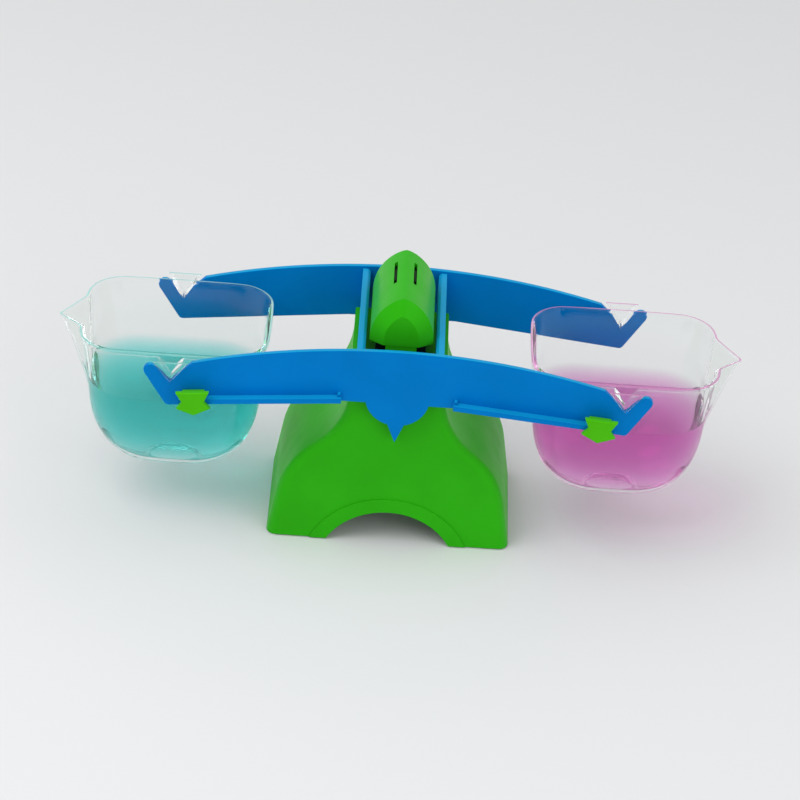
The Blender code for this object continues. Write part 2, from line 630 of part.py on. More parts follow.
def make_base_shell(material):
    """Hollow shell, open below, with an arch through its front and back."""
    shell = make_object("base_shell", bell_solid(0, BASE_BOTTOM), material)
    centre, radius = arch_circle()
    band_radius = radius + ARCH_BAND_WIDTH
    band_angle = math.asin((BASE_BOTTOM - centre) / band_radius)
    band = arc((0, centre), band_radius, band_angle, math.pi - band_angle, 2 * ARCH_STEPS)
    face = BASE_DEPTH / 2
    for side in (-1, 1):
        ends = sorted((side * (face - BASE_WALL / 2), side * (face + ARCH_BAND_PROUD)))
        shape_with(shell, prism(band, *ends), "UNION")
    shape_with(shell, bell_solid(BASE_WALL, BASE_BOTTOM - CUT_OVERRUN), "DIFFERENCE")
    arch = arc((0, centre), radius, 0, math.pi, 2 * ARCH_STEPS)
    shape_with(shell, prism(arch, -face - CUT_OVERRUN, face + CUT_OVERRUN), "DIFFERENCE")
    recess = PAD_DIAMETER / 2 + SEAT_GAP
    boss = PAD_BOSS_DIAMETER / 2
    depth = PAD_THICKNESS - PAD_PROUD
    profile = [(0, depth), (recess, depth), (recess, 0), (boss, 0), (boss, PAD_BOSS_HEIGHT),
               (0, PAD_BOSS_HEIGHT)]
    for x, y in pad_places():
        shape_with(shell, turned(profile, Vector((x, y, BASE_BOTTOM + SEAT_GAP)), (0, 0, 1)), "UNION")
    for side in (-1, 1):
        start = Vector((0, side * POST_SCREW_PLACE, NECK_TOP_HEIGHT - BASE_WALL - CUT_OVERRUN))
        length = BASE_WALL + 2 * CUT_OVERRUN
        hole = cylinder(POST_SCREW_DIAMETER + 2 * SEAT_GAP, start, (0, 0, 1), length)
        shape_with(shell, hole, "DIFFERENCE")


def make_foot_pads(material):
    radius = PAD_DIAMETER / 2
    chamfer = PAD_PROUD / 2
    profile = [(0, 0), (radius - chamfer, 0), (radius, chamfer), (radius, PAD_THICKNESS), (0, PAD_THICKNESS)]
    names = ("front_left_pad", "front_right_pad", "rear_left_pad", "rear_right_pad")
    for name, (x, y) in zip(names, pad_places()):
        make_object(name, turned(profile, Vector((x, y, 0)), (0, 0, 1)), material)


def cap_side(half_width, ridge, x_limit=None):
    """Right side of an arched section, from its spring line up to the ridge."""
    spring = CAP_SPRING_HEIGHT
    start = 0
    if x_limit is not None:
        start = (1 - (x_limit / half_width) ** (1 / CAP_ROOT_POWER)) ** (1 / CAP_ARCH_POWER)
    points = []
    for step in range(ARCH_STEPS + 1):
        rise_share = 1 - (1 - start) * (1 - step / ARCH_STEPS) ** CAP_STEP_POWER
        x = half_width * (1 - rise_share ** CAP_ARCH_POWER) ** CAP_ROOT_POWER
        points.append((x, spring + rise_share * (ridge - spring)))
    return points


def cap_surface_height(x):
    """Height of the cap's outside at a distance from its middle."""
    share = (1 - (x / CAP_HALF_WIDTH) ** (1 / CAP_ROOT_POWER)) ** (1 / CAP_ARCH_POWER)
    return CAP_SPRING_HEIGHT + share * (CAP_RIDGE_HEIGHT - CAP_SPRING_HEIGHT)


def arched_outline(half_width, ridge, bottom, x_limit=None):
    right = cap_side(half_width, ridge, x_limit)
    right.insert(0, (right[0][0], bottom))
    return right + mirrored(right[:-1])


def make_head_cap(material):
    """Arched cover with sloped ends, a tongue over the rod at each end and two slots on top."""
    end_ridge = CAP_RIDGE_HEIGHT - CAP_END_RIDGE_DROP
    middle = arched_outline(CAP_HALF_WIDTH, CAP_RIDGE_HEIGHT, CAP_BOTTOM_HEIGHT)
    end = arched_outline(CAP_END_HALF_WIDTH, end_ridge, CAP_BOTTOM_HEIGHT)
    stations = [(-CAP_FACE, end), (-CAP_HALF_LENGTH, middle), (CAP_HALF_LENGTH, middle), (CAP_FACE, end)]
    cap = make_object("head_cap", lofted([[(x, y, z) for x, z in ring] for y, ring in stations]), material)
    hollow = arched_outline(CAP_HALF_WIDTH - CAP_WALL, CAP_RIDGE_HEIGHT - CAP_WALL,
                            CAP_BOTTOM_HEIGHT - CUT_OVERRUN)
    shape_with(cap, prism(hollow, -CAP_INNER_HALF_LENGTH, CAP_INNER_HALF_LENGTH), "DIFFERENCE")
    tongue_bottom = PIVOT_HEIGHT + ROD_DIAMETER / 2 + SEAT_GAP
    tongue_half = CAP_END_HALF_WIDTH - CAP_TONGUE_INSET
    tongue_face = CAP_FACE - CAP_TONGUE_RECESS
    for side in (-1, 1):
        ends = sorted((side * tongue_face, side * (tongue_face - CAP_TONGUE_THICKNESS)))
        tongue = box((-tongue_half, tongue_half), ends, (tongue_bottom, CAP_BOTTOM_HEIGHT + CAP_WALL))
        shape_with(cap, tongue, "UNION")
        x = side * CAP_SLOT_PLACE
        slot = box((x - CAP_SLOT_WIDTH / 2, x + CAP_SLOT_WIDTH / 2),
                   (CAP_SLOT_SHIFT - CAP_SLOT_LENGTH / 2, CAP_SLOT_SHIFT + CAP_SLOT_LENGTH / 2),
                   (CAP_SPRING_HEIGHT, CAP_RIDGE_HEIGHT + CUT_OVERRUN))
        shape_with(cap, slot, "DIFFERENCE")


def pivot_bore():
    """The rod's bore through the post, widened at both ends for the bushings."""
    bore = ROD_DIAMETER / 2 + 2 * SEAT_GAP
    seat = BUSHING_DIAMETER / 2 + SEAT_GAP
    end = POST_HALF_LENGTH + CUT_OVERRUN
    step = POST_HALF_LENGTH - BUSHING_LENGTH - SEAT_GAP
    profile = [(0, -end), (seat, -end), (seat, -step), (bore, -step), (bore, step), (seat, step), (seat, end),
               (0, end)]
    return turned(profile, Vector((0, 0, PIVOT_HEIGHT)), (0, 1, 0))


def make_pivot_post(material):
    """Post in the cap, with the rod's bore, seats for two bushings and two snap tongues."""
    top_half_width = CAP_HALF_WIDTH - CAP_WALL - SEAT_GAP
    top_ridge = CAP_RIDGE_HEIGHT - CAP_WALL - SEAT_GAP
    foot_top = POST_BOTTOM + POST_FOOT_THICKNESS
    arched = cap_side(top_half_width, top_ridge, POST_HALF_WIDTH)
    right = [(POST_FOOT_HALF_WIDTH, POST_BOTTOM), (POST_FOOT_HALF_WIDTH, foot_top),
             (POST_HALF_WIDTH, foot_top)]
    right += arched
    outline = right + mirrored(right[:-1])
    post = make_object("pivot_post", prism(outline, -POST_HALF_LENGTH, POST_HALF_LENGTH), material)
    for side in (-1, 1):
        x = side * CAP_SLOT_PLACE
        half = CAP_SLOT_WIDTH / 2 - SEAT_GAP
        tongue = box((x - half, x + half),
                     (CAP_SLOT_SHIFT - SNAP_LENGTH / 2, CAP_SLOT_SHIFT + SNAP_LENGTH / 2),
                     (CAP_SPRING_HEIGHT, cap_surface_height(CAP_SLOT_PLACE) - SNAP_RECESS))
        shape_with(post, tongue, "UNION")
    shape_with(post, pivot_bore(), "DIFFERENCE")
    for side in (-1, 1):
        start = Vector((0, side * POST_SCREW_PLACE, POST_BOTTOM - CUT_OVERRUN))
        depth = POST_SCREW_GRIP + SEAT_GAP + CUT_OVERRUN
        hole = cylinder(POST_SCREW_DIAMETER + 2 * SEAT_GAP, start, (0, 0, 1), depth)
        shape_with(post, hole, "DIFFERENCE")


def make_bushing(name, side, material):
    """Flanged ring around the rod; side is -1 at the front, 1 at the back."""
    inner = ROD_DIAMETER / 2 + SEAT_GAP
    outer = BUSHING_DIAMETER / 2
    flange = BUSHING_FLANGE_DIAMETER / 2
    thickness = BUSHING_FLANGE_THICKNESS
    length = thickness + SEAT_GAP + BUSHING_LENGTH
    profile = [(inner, 0), (flange, 0), (flange, thickness), (outer, thickness), (outer, length),
               (inner, length)]
    place = Vector((0, side * (POST_HALF_LENGTH + SEAT_GAP + thickness), PIVOT_HEIGHT))
    make_object(name, turned(profile, place, (0, -side, 0)), material)


def make_rod(material, axis):
    radius = ROD_DIAMETER / 2
    chamfer = radius / 5
    half = BEAM_INNER + ROD_SOCKET_DEPTH - SEAT_GAP
    profile = [(0, 0), (radius - chamfer, 0), (radius, chamfer), (radius, 2 * half - chamfer),
               (radius - chamfer, 2 * half), (0, 2 * half)]
    make_object("pivot_rod", turned(profile, Vector((0, -half, PIVOT_HEIGHT)), (0, 1, 0)), material, axis)


def bucket_ring(depth, half_x, half_y, corner, side):
    """A level section of a bucket at a depth below its rim, with the spout at its outer end."""
    share = max(0, 1 - depth / SPOUT_DEPTH)
    reach = SPOUT_REACH * share
    narrow = SPOUT_TIP_HALF_WIDTH + 2 * SPOUT_ROUND
    foot = narrow + (SPOUT_HALF_WIDTH - narrow) * share
    squeeze = min(1, SPOUT_TIP_SHARE * (half_y - corner) / (foot + SPOUT_ROUND))
    half = [(half_x + reach, squeeze * SPOUT_TIP_HALF_WIDTH),
            (half_x + reach * SPOUT_TIP_SHARE, squeeze * (SPOUT_TIP_HALF_WIDTH + SPOUT_ROUND)),
            (half_x + reach * SPOUT_FOOT_SHARE, squeeze * (foot - SPOUT_ROUND / 2)),
            (half_x, squeeze * (foot + SPOUT_ROUND))]
    half += arc((half_x - corner, half_y - corner), corner, 0, math.pi / 2, BUCKET_CORNER_STEPS)
    half += arc((corner - half_x, half_y - corner), corner, math.pi / 2, math.pi, BUCKET_CORNER_STEPS)
    ring = half + [(x, -y) for x, y in reversed(half)]
    dip = SPOUT_DIP * share / SPOUT_REACH
    return [(side * (ARM_LENGTH + x), y, RIM_HEIGHT - depth - dip * max(0, x - half_x)) for x, y in ring]


def bucket_rings(inset, side):
    """Sections of the bucket's outer skin, or of its inner skin, from the rim to the bottom."""
    rim_x = BUCKET_LENGTH / 2 - BUCKET_LIP_WIDTH
    rim_y = BUCKET_WIDTH / 2 - BUCKET_LIP_WIDTH
    turn_depth = BUCKET_HEIGHT - BUCKET_TURN_HEIGHT
    growth = BUCKET_TURN_CORNER_RADIUS - BUCKET_CORNER_RADIUS
    rings = []
    for step in range(SPOUT_STEPS + 1):
        depth = turn_depth * step / SPOUT_STEPS
        half_x = rim_x - depth * math.tan(BUCKET_END_DRAFT)
        half_y = rim_y - depth * math.tan(BUCKET_SIDE_DRAFT)
        rings.append((depth, half_x, half_y, BUCKET_CORNER_RADIUS + growth * step / SPOUT_STEPS))
    _, turn_x, turn_y, corner = rings[-1]
    for step in range(1, BUCKET_TURN_STEPS + 1):
        angle = math.pi / 2 * step / BUCKET_TURN_STEPS
        drawn_in = 1 - math.cos(angle) ** (2 / BUCKET_TURN_POWER)
        rings.append((turn_depth + (BUCKET_TURN_HEIGHT - inset) * math.sin(angle) ** (2 / BUCKET_TURN_POWER),
                      turn_x + (BUCKET_BASE_LENGTH / 2 - turn_x) * drawn_in,
                      turn_y + (BUCKET_BASE_WIDTH / 2 - turn_y) * drawn_in,
                      corner + (BUCKET_BASE_CORNER_RADIUS - corner) * drawn_in))
    return [bucket_ring(depth, x - inset, y - inset, corner - inset, side) for depth, x, y, corner in rings]


def bucket_skin(side):
    """Closed skin of a bucket: bottom, outside, lip, inside."""
    outside = bucket_rings(0, side)
    lip_corner = BUCKET_CORNER_RADIUS + BUCKET_LIP_WIDTH
    rim = [bucket_ring(depth, BUCKET_LENGTH / 2, BUCKET_WIDTH / 2, lip_corner, side)
           for depth in (BUCKET_LIP_THICKNESS, 0)]
    under_lip = bucket_ring(BUCKET_LIP_THICKNESS, BUCKET_LENGTH / 2 - BUCKET_LIP_WIDTH,
                            BUCKET_WIDTH / 2 - BUCKET_LIP_WIDTH, BUCKET_CORNER_RADIUS, side)
    return lofted(outside[:0:-1] + [under_lip] + rim + bucket_rings(BUCKET_WALL, side))


def lug_outline(half_angle, tip, top, side):
    """A wedge with its rounded edge on the bucket's swing axis."""
    rise = top - BUCKET_AXIS_HEIGHT
    half = tip * math.cos(half_angle) + (rise + tip * math.sin(half_angle)) * math.tan(half_angle)
    centre = (side * ARM_LENGTH, BUCKET_AXIS_HEIGHT)
    points = arc(centre, tip, half_angle - math.pi, -half_angle, CORNER_STEPS)
    return points + [(centre[0] + half, top), (centre[0] - half, top)]


def make_lug(side, face):
    """The wedge through the beam's notch with its wider end plate; face is -1 front, 1 back."""
    top = RIM_HEIGHT - LUG_TOP_DROP
    wedge = lug_outline(LUG_HALF_ANGLE, LUG_TIP_RADIUS, top - LUG_TOP_DROP, side)
    plate = lug_outline(LUG_PLATE_HALF_ANGLE, LUG_PLATE_TIP_RADIUS, top, side)
    sunk = BUCKET_WALL / 2 + (top - BUCKET_AXIS_HEIGHT) / 2 * math.tan(BUCKET_SIDE_DRAFT)
    root = BUCKET_WIDTH / 2 - BUCKET_LIP_WIDTH - sunk
    plate_back = BEAM_OUTER + SLIDE_GAP
    stations = [(root, wedge), (plate_back, wedge), (plate_back, plate),
                (plate_back + LUG_PLATE_THICKNESS, plate)]
    return lofted([[(x, face * y, z) for x, z in outline] for y, outline in stations])


def make_bucket(name, side, material, axis):
    """A clear bucket with a lug at the front and the back; side is -1 left, 1 right."""
    bucket = make_object(name, bucket_skin(side), material, axis)
    for face in (-1, 1):
        shape_with(bucket, make_lug(side, face), "UNION")


def make_base():
    green = make_material("green_plastic", "2A9E12", 0.35)
    nylon = make_material("white_nylon", "E8E6DC", 0.5)
    rubber = make_material("grey_rubber", "4A4C4E", 0.85)
    steel = make_material("zinc_plated_steel", "B8BCC0", 0.35, metallic=1.0)
    make_base_shell(green)
    make_foot_pads(rubber)
    make_pivot_post(green)
    make_head_cap(green)
    make_bushing("front_bushing", -1, nylon)
    make_bushing("rear_bushing", 1, nylon)
    head_top = NECK_TOP_HEIGHT - BASE_WALL - SEAT_GAP - POST_SCREW_HEAD_HEIGHT
    length = BASE_WALL + 2 * SEAT_GAP + POST_SCREW_GRIP
    for name, side in (("front_post_screw", -1), ("rear_post_screw", 1)):
        place = Vector((0, side * POST_SCREW_PLACE, head_top))
        make_screw(name, place, (0, 0, 1), POST_SCREW_DIAMETER, POST_SCREW_HEAD_DIAMETER,
                   POST_SCREW_HEAD_HEIGHT, length, steel)


def make_beam_frame(axis):
    blue = make_material("blue_plastic", "0070BE", 0.35)
    steel = make_material("steel", "A9ADB2", 0.3, metallic=1.0)
    front = make_beam("front_beam", -1, blue, axis)
    rear = make_beam("rear_beam", 1, blue, axis)
    screw_holes(rear)
    make_rod(steel, axis)
    for name, side in (("left", -1), ("right", 1)):
        add_rail(front, side)
        shape_with(front, peg_box(side, SEAT_GAP), "DIFFERENCE")
        make_crossbar(name + "_crossbar", side, blue, axis)
        x = side * (CROSSBAR_INNER + CROSSBAR_WIDTH / 2)
        for level, z in zip(("lower", "upper"), beam_screw_heights()):
            place = Vector((x, BEAM_OUTER + SEAT_GAP + BEAM_SCREW_HEAD_HEIGHT, z))
            length = SEAT_GAP + BEAM_THICKNESS + BEAM_SCREW_GRIP
            make_screw(f"{name}_{level}_beam_screw", place, (0, -1, 0), BEAM_SCREW_DIAMETER,
                       BEAM_SCREW_HEAD_DIAMETER, BEAM_SCREW_HEAD_HEIGHT, length, steel, axis)


def make_moving_ends(beam_axis):
    clear = make_material("clear_plastic", "E4F2F0", 0.08, transmission=1.0)
    green = make_material("bright_green_plastic", "46B414", 0.35)
    for name, side in (("left", -1), ("right", 1)):
        bucket_axis = make_axis(name + "_bucket_axis", Vector((side * ARM_LENGTH, 0, BUCKET_AXIS_HEIGHT)),
                                beam_axis)
        make_bucket(name + "_bucket", side, clear, bucket_axis)
        along = slider_rest()
        place = Vector((side * (RAIL_START + along * math.cos(RAIL_SLOPE)), -BEAM_OUTER,
                        BEAM_BOTTOM_HEIGHT - along * math.sin(RAIL_SLOPE)))
        slider_axis = make_axis(name + "_slider_axis", place, beam_axis)
        make_slider(name + "_slider", side, green, slider_axis)


def centre_on_origin():
    """Parent everything to one empty, moved so that the sliders and the rear lugs reach equally far."""
    balance = make_axis("balance", Vector())
    for obj in list(bpy.data.objects):
        if obj.parent is None and obj is not balance:
            obj.parent = balance
    front_reach = BEAM_OUTER + LEDGE_DEPTH + SLIDE_GAP + SLIDER_PLATE_THICKNESS
    rear_reach = BEAM_OUTER + SLIDE_GAP + LUG_PLATE_THICKNESS
    balance.location.y = (front_reach - rear_reach) / 2


def main():
    clear_scene()
    make_base()
    beam_axis = make_axis("beam_axis", Vector((0, 0, PIVOT_HEIGHT)))
    make_beam_frame(beam_axis)
    make_moving_ends(beam_axis)
    centre_on_origin()


if __name__ == "__main__":
    main()
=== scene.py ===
"""Looks of a bucket balance: moulded plastics, clear buckets of coloured water and a plain studio.

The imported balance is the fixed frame. Each operator dresses one group of its pieces.
Lengths are metres, X runs along the beams, the slider side faces -Y, and Z is up.
"""

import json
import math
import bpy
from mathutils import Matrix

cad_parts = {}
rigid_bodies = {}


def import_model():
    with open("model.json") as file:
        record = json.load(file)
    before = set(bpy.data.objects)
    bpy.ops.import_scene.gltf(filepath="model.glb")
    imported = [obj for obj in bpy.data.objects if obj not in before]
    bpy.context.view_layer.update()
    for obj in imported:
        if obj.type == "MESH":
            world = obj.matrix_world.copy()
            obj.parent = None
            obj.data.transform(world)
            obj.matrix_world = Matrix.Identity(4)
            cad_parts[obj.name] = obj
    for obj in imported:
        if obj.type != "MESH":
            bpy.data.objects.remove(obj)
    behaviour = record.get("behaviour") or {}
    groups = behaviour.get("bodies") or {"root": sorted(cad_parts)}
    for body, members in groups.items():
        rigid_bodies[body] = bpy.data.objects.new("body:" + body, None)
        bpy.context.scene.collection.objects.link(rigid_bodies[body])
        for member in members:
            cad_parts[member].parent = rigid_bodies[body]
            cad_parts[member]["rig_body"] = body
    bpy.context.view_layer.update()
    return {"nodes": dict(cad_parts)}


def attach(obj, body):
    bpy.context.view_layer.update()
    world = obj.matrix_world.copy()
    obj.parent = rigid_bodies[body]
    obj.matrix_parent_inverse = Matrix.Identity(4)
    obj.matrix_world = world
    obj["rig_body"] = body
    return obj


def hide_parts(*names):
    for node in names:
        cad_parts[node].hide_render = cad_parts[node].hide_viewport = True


bl_info = {
    "name": "Bucket Balance",
    "version": (1, 0, 0),
    "blender": (4, 5, 0),
    "location": "View3D > Sidebar > Balance",
    "description": "Dresses a bucket balance with moulded plastics, coloured water and a studio",
    "category": "Object",
}

import bmesh
import bpy
from bpy.props import FloatProperty, FloatVectorProperty, PointerProperty
from mathutils import Matrix, Vector

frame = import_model()

MM = 0.001

# Colours of the plastics, the metals, the water and the studio
BASE_GREEN = "#2BAA10"
CLIP_GREEN = "#48B80E"
BEAM_BLUE = "#0075C4"
# Paler blue of painted highlight, for light from above on the crossbars and on the beams' upward faces
HIGHLIGHT_BLUE = "#0A96CC"
POST_SHADE_BLACK = "#101411"
CLEAR_TINT = "#FBFDFC"
# The water's colours as painted light on the clear buckets: reflection along walls seen edge-on,
# highlight on lips and lug tops
LEFT_PAINTED_WATER_TINT = "#A9E2DC"
RIGHT_PAINTED_WATER_TINT = "#E0A3CF"
TEAL_WATER = "#28EAE8"
PINK_WATER = "#EB36D7"
NYLON_WHITE = "#E8E6DC"
# Near-black painted shade on the pivot post, for the dark gaps under the cap
RUBBER_GREY = "#4A4C4E"
STEEL_GREY = "#A9ADB2"
ZINC_GREY = "#B8BCC0"
FLOOR_PALE = "#E0E1E2"

# Lowest and highest share of its colour that a surface shows
CLOUD_SHADES = (0.93, 1.06)
LIP_SHADES = (0.92, 1.08)
GRAIN_SHADES = (0.88, 1.08)

# Indices of refraction. Clear polystyrene has 1.59 and water 1.33, but here both are lower, because the
# photographed buckets have walls that hardly show and water that mirrors next to nothing.
ABS_IOR = 1.52
CLEAR_WALL_IOR = 1.05
CLEAR_LIP_IOR = 1.3
WATER_IOR = 1.1

# How strongly the water takes its colour, per metre that is looked through
TEAL_DENSITY = 48.0
PINK_DENSITY = 30.0

# Gloss of the moulded ABS, which is weak and tinted
ABS_SPECULAR = 0.3
ABS_SHEEN = 0.25
ABS_SHEEN_ROUGHNESS = 0.35
BASE_ROUGHNESS = 0.44
CAP_ROUGHNESS = 0.36
POST_ROUGHNESS = 0.5
BEAM_ROUGHNESS = 0.4
SLIDER_ROUGHNESS = 0.4

# Gloss of the clear polystyrene, under a hard polish
LIP_ROUGHNESS = 0.2
# The lip lets half of the light through and shows the rest in the water's tint, as a painted highlight
LIP_TRANSMISSION = 0.5
POLISH_WEIGHT = 0.5
POLISH_ROUGHNESS = 0.03

# Gloss of the other materials
STEEL_ROUGHNESS = 0.3
ZINC_ROUGHNESS = 0.36
NYLON_ROUGHNESS = 0.5
RUBBER_ROUGHNESS = 0.8
PAPER_ROUGHNESS = 0.9
PAPER_SPECULAR = 0.2

# What handling, wipes and tool marks take from or add to the roughness
HANDLING_GLOSS = (-0.05, 0.07)
WIPE_GLOSS = (0.0, 0.05)
MARK_GLOSS = (-0.08, 0.12)

# Parts of a noise's range: the middle, which holds most of its values, and a higher one for the wipes
COMMON_NOISE = (0.3, 0.7)
WIPE_NOISE = (0.35, 0.75)

# How nearly edge-on a clear wall is seen where its painted reflection of the water's colour starts to
# show, and where it is full
EDGE_ON = (0.72, 0.97)

# Widths of what varies over a surface. The real peel, tool marks and grain are about 0.1 mm wide, too
# fine to show, and are drawn coarser.
CLOUD_WIDTH = 45.0 * MM
HANDLING_WIDTH = 18.0 * MM
WALL_WIPE_WIDTH = 20.0 * MM
LIP_WIPE_WIDTH = 10.0 * MM
PEEL_WIDTH = 0.9 * MM
SLIDER_PEEL_WIDTH = 0.8 * MM
STEEL_MARK_WIDTH = 0.4 * MM
ZINC_MARK_WIDTH = 0.7 * MM
NYLON_GRAIN_WIDTH = 0.5 * MM
RUBBER_GRAIN_WIDTH = 0.4 * MM
FIBRE_WIDTH = 4.0 * MM

# Depths of the peel, the tool marks, the grain and the fibres
PEEL_DEPTH = 0.008 * MM
CAP_PEEL_DEPTH = 0.004 * MM
MARK_DEPTH = 0.05 * MM
GRAIN_DEPTH = 0.1 * MM
FIBRE_DEPTH = 0.1 * MM

# Where a bucket hangs
ARM_LENGTH = 133.0 * MM
BUCKET_MIDDLE_Y = 3.95 * MM
NOTCH_HEIGHT = 109.0 * MM
LUG_AXIS_HEIGHT = 110.273 * MM

# Shape of a bucket, drawn from its rim down. The wall falls with its draft to the turn, a quarter of a
# superellipse that leads to the bottom.
BUCKET_LENGTH = 112.4 * MM
BUCKET_WIDTH = 88.6 * MM
BUCKET_HEIGHT = 91.5 * MM
BUCKET_RIM_RISE = 12.8 * MM
BUCKET_WALL = 1.8 * MM
CORNER_RADIUS = 22.0 * MM
TURN_CORNER_RADIUS = 30.0 * MM
TURN_HEIGHT = 50.0 * MM
TURN_POWER = 2.2
BOTTOM_LENGTH = 36.0 * MM
BOTTOM_WIDTH = 28.0 * MM
BOTTOM_CORNER_RADIUS = 13.0 * MM
END_DRAFT = math.radians(3.8)
SIDE_DRAFT = math.radians(5.5)
RIM_HEIGHT = NOTCH_HEIGHT + BUCKET_RIM_RISE

# The lip round the rim, with a painted highlight line on its top
LIP_WIDTH = 1.4 * MM
LIP_THICKNESS = 2.2 * MM
LIP_EDGE_ROUND = 0.45 * MM
RIM_HIGHLIGHT_WIDTH = 1.3 * MM

# The hollow foot: shares of the bottom's size and of the foot's rise, from the outside in. The floor
# inside is raised to clear it.
FOOT_RISE = 2.4 * MM
FOOT_STEPS = ((0.86, 0.0), (0.7, 0.8), (0.4, 1.0))
FLOOR_RISE = 1.2 * MM

# The spout, which narrows to nothing at its depth. Its rounded tip and root start at shares of its reach.
SPOUT_REACH = 13.8 * MM
SPOUT_HALF_WIDTH = 16.7 * MM
SPOUT_DEPTH = 53.0 * MM
SPOUT_DIP = 3.0 * MM
SPOUT_TIP_HALF_WIDTH = 1.2 * MM
SPOUT_ROUND = 1.4 * MM
SPOUT_TIP_SHARE = 0.9
SPOUT_ROOT_SHARE = 0.08

# The wedge and plate that hang a bucket in the beams' notches
LUG_HALF_ANGLE = math.radians(32.0)
LUG_TIP_RADIUS = 0.6 * MM
LUG_PLATE_HALF_ANGLE = math.radians(36.5)
LUG_PLATE_TIP_RADIUS = 1.3 * MM
LUG_PLATE_THICKNESS = 1.3 * MM
LUG_TOP_DROP = 0.4 * MM
LUG_PLATE_BACK = 51.4 * MM
LUG_EDGE_ROUND = 0.35 * MM

# How far the water's skin lies inside the wall, so that no air shows between them, and how wide the two
# steps are in which the water climbs at the wall
WATER_OVERLAP = 0.4 * MM
MENISCUS_WIDTHS = (0.5 * MM, 1.2 * MM)

# How finely the curves are drawn
CORNER_STEPS = 5
WALL_STEPS = 4
TURN_STEPS = 7
LUG_TIP_STEPS = 6
SMOOTHING_LEVELS = 2
ROUNDING_SEGMENTS = 2

# Angles and distances that tell flat, smooth and sharp apart
FLAT_ANGLE = math.radians(0.5)
MOULDED_SMOOTH_ANGLE = math.radians(32)
BUCKET_SMOOTH_ANGLE = math.radians(35)
WATER_SMOOTH_ANGLE = math.radians(50)
SHARP_ANGLE = math.radians(40)
MERGE_DISTANCE = 0.002 * MM
CUT_DISTANCE = 0.001 * MM

# How far a face's normal points up where it counts as upper and takes a painted highlight: on a beam, and
# on a bucket's lug
BEAM_TOP_NORMAL = 0.8
LUG_TOP_NORMAL = 0.5

# Studio lamps: name, place and side in metres, and share of the key lamp's power
LAMPS = (("key", (-0.9, -0.6, 1.7), 1.4, 1.0),
         ("fill", (1.3, -1.5, 1.0), 1.4, 0.5),
         ("left side", (-1.7, 0.2, 0.8), 0.7, 0.2),
         ("right side", (1.7, 0.2, 0.8), 0.7, 0.2))
LAMP_TARGET = (0, 0, 80.0 * MM)

# From the middle of the floor to its edges, the point that the camera looks at, and the nearest it sees
FLOOR_REACH = 6000.0 * MM
VIEW_MIDDLE = (2.07 * MM, 0, 76.6 * MM)
CLIP_START = 50.0 * MM

# How often light turns inside the clear pieces before it is given up
LIGHT_BOUNCES = 24


def linear(hex_colour):
    """Linear red, green, blue and alpha of an sRGB hex colour."""
    shares = [int(hex_colour[place:place + 2], 16) / 255 for place in (1, 3, 5)]
    return [share / 12.92 if share <= 0.04045 else ((share + 0.055) / 1.055) ** 2.4
            for share in shares] + [1]


def colour_property(name, description, hex_colour):
    return FloatVectorProperty(name=name, description=description, subtype="COLOR", size=4, min=0, max=1,
                               default=linear(hex_colour))


def length_property(name, description, default):
    return FloatProperty(name=name, description=description, default=default, min=0, unit="LENGTH")


def angle_property(name, description, degrees):
    return FloatProperty(name=name, description=description, default=math.radians(degrees),
                         subtype="ANGLE")


class PlasticSettings(bpy.types.PropertyGroup):
    """Colours of the moulded pieces."""
    base_colour: colour_property("Base", "Green of the base and its cap", BASE_GREEN)
    clip_colour: colour_property("Sliders", "Green of the sliders", CLIP_GREEN)
    beam_colour: colour_property("Beams", "Blue of the beams", BEAM_BLUE)
    highlight_colour: colour_property("Edges", "Paler blue of painted highlight on the crossbars and the beams' upper edges",
                                 HIGHLIGHT_BLUE)
    edge_round: length_property("Edge round", "Radius that softens moulded edges", 0.4 * MM)


class WaterSettings(bpy.types.PropertyGroup):
    """What stands in the buckets."""
    level: length_property("Level", "Height of the water above the table", 86.0 * MM)
    left_colour: colour_property("Left", "Colour of the water in the left bucket", TEAL_WATER)
    right_colour: colour_property("Right", "Colour of the water in the right bucket", PINK_WATER)
    meniscus: length_property("Meniscus", "Height that the water climbs at the wall", 0.7 * MM)


class StageSettings(bpy.types.PropertyGroup):
    """Floor, lamps and camera."""
    floor_colour: colour_property("Floor", "Colour of the floor", FLOOR_PALE)
    sky: FloatProperty(name="Sky", description="Strength of the even light from all round", default=0.62,
                       min=0)
    key_power: FloatProperty(name="Key", description="Power of the large soft lamp", default=18, min=0,
                             subtype="POWER")
    distance: length_property("Distance", "From the camera to the middle of the balance", 1950.0 * MM)
    elevation: angle_property("Elevation", "Angle that the camera looks down by", 32.2)
    azimuth: angle_property("Azimuth", "Angle of the camera round from the front", -0.64)
    roll: angle_property("Roll", "Lean of the picture", 4.27)
    view_width: length_property("View width", "Width of what the camera sees at the balance", 480.0 * MM)


def add_node(tree, kind, inputs=None):
    """Add a node with its settings and links: each input gets a value or another node's output."""
    node = tree.nodes.new(kind)
    for name, value in (inputs or {}).items():
        if isinstance(value, bpy.types.NodeSocket):
            tree.links.new(value, node.inputs[name])
        else:
            node.inputs[name].default_value = value
    return node


def start_material(name):
    """An empty material with its node tree and its output."""
    material = bpy.data.materials.new(name)
    material.use_nodes = True
    tree = material.node_tree
    tree.nodes.clear()
    return material, tree, add_node(tree, "ShaderNodeOutputMaterial")


def shade(colour, factor):
    """A colour made lighter or darker."""
    return [min(1, channel * factor) for channel in colour[:3]] + [1]


def gloss_tint(colour):
    """The colour that a deeply dyed plastic gives its own gloss: paler than the plastic."""
    return [math.sqrt(channel / max(colour[:3])) for channel in colour[:3]] + [1]


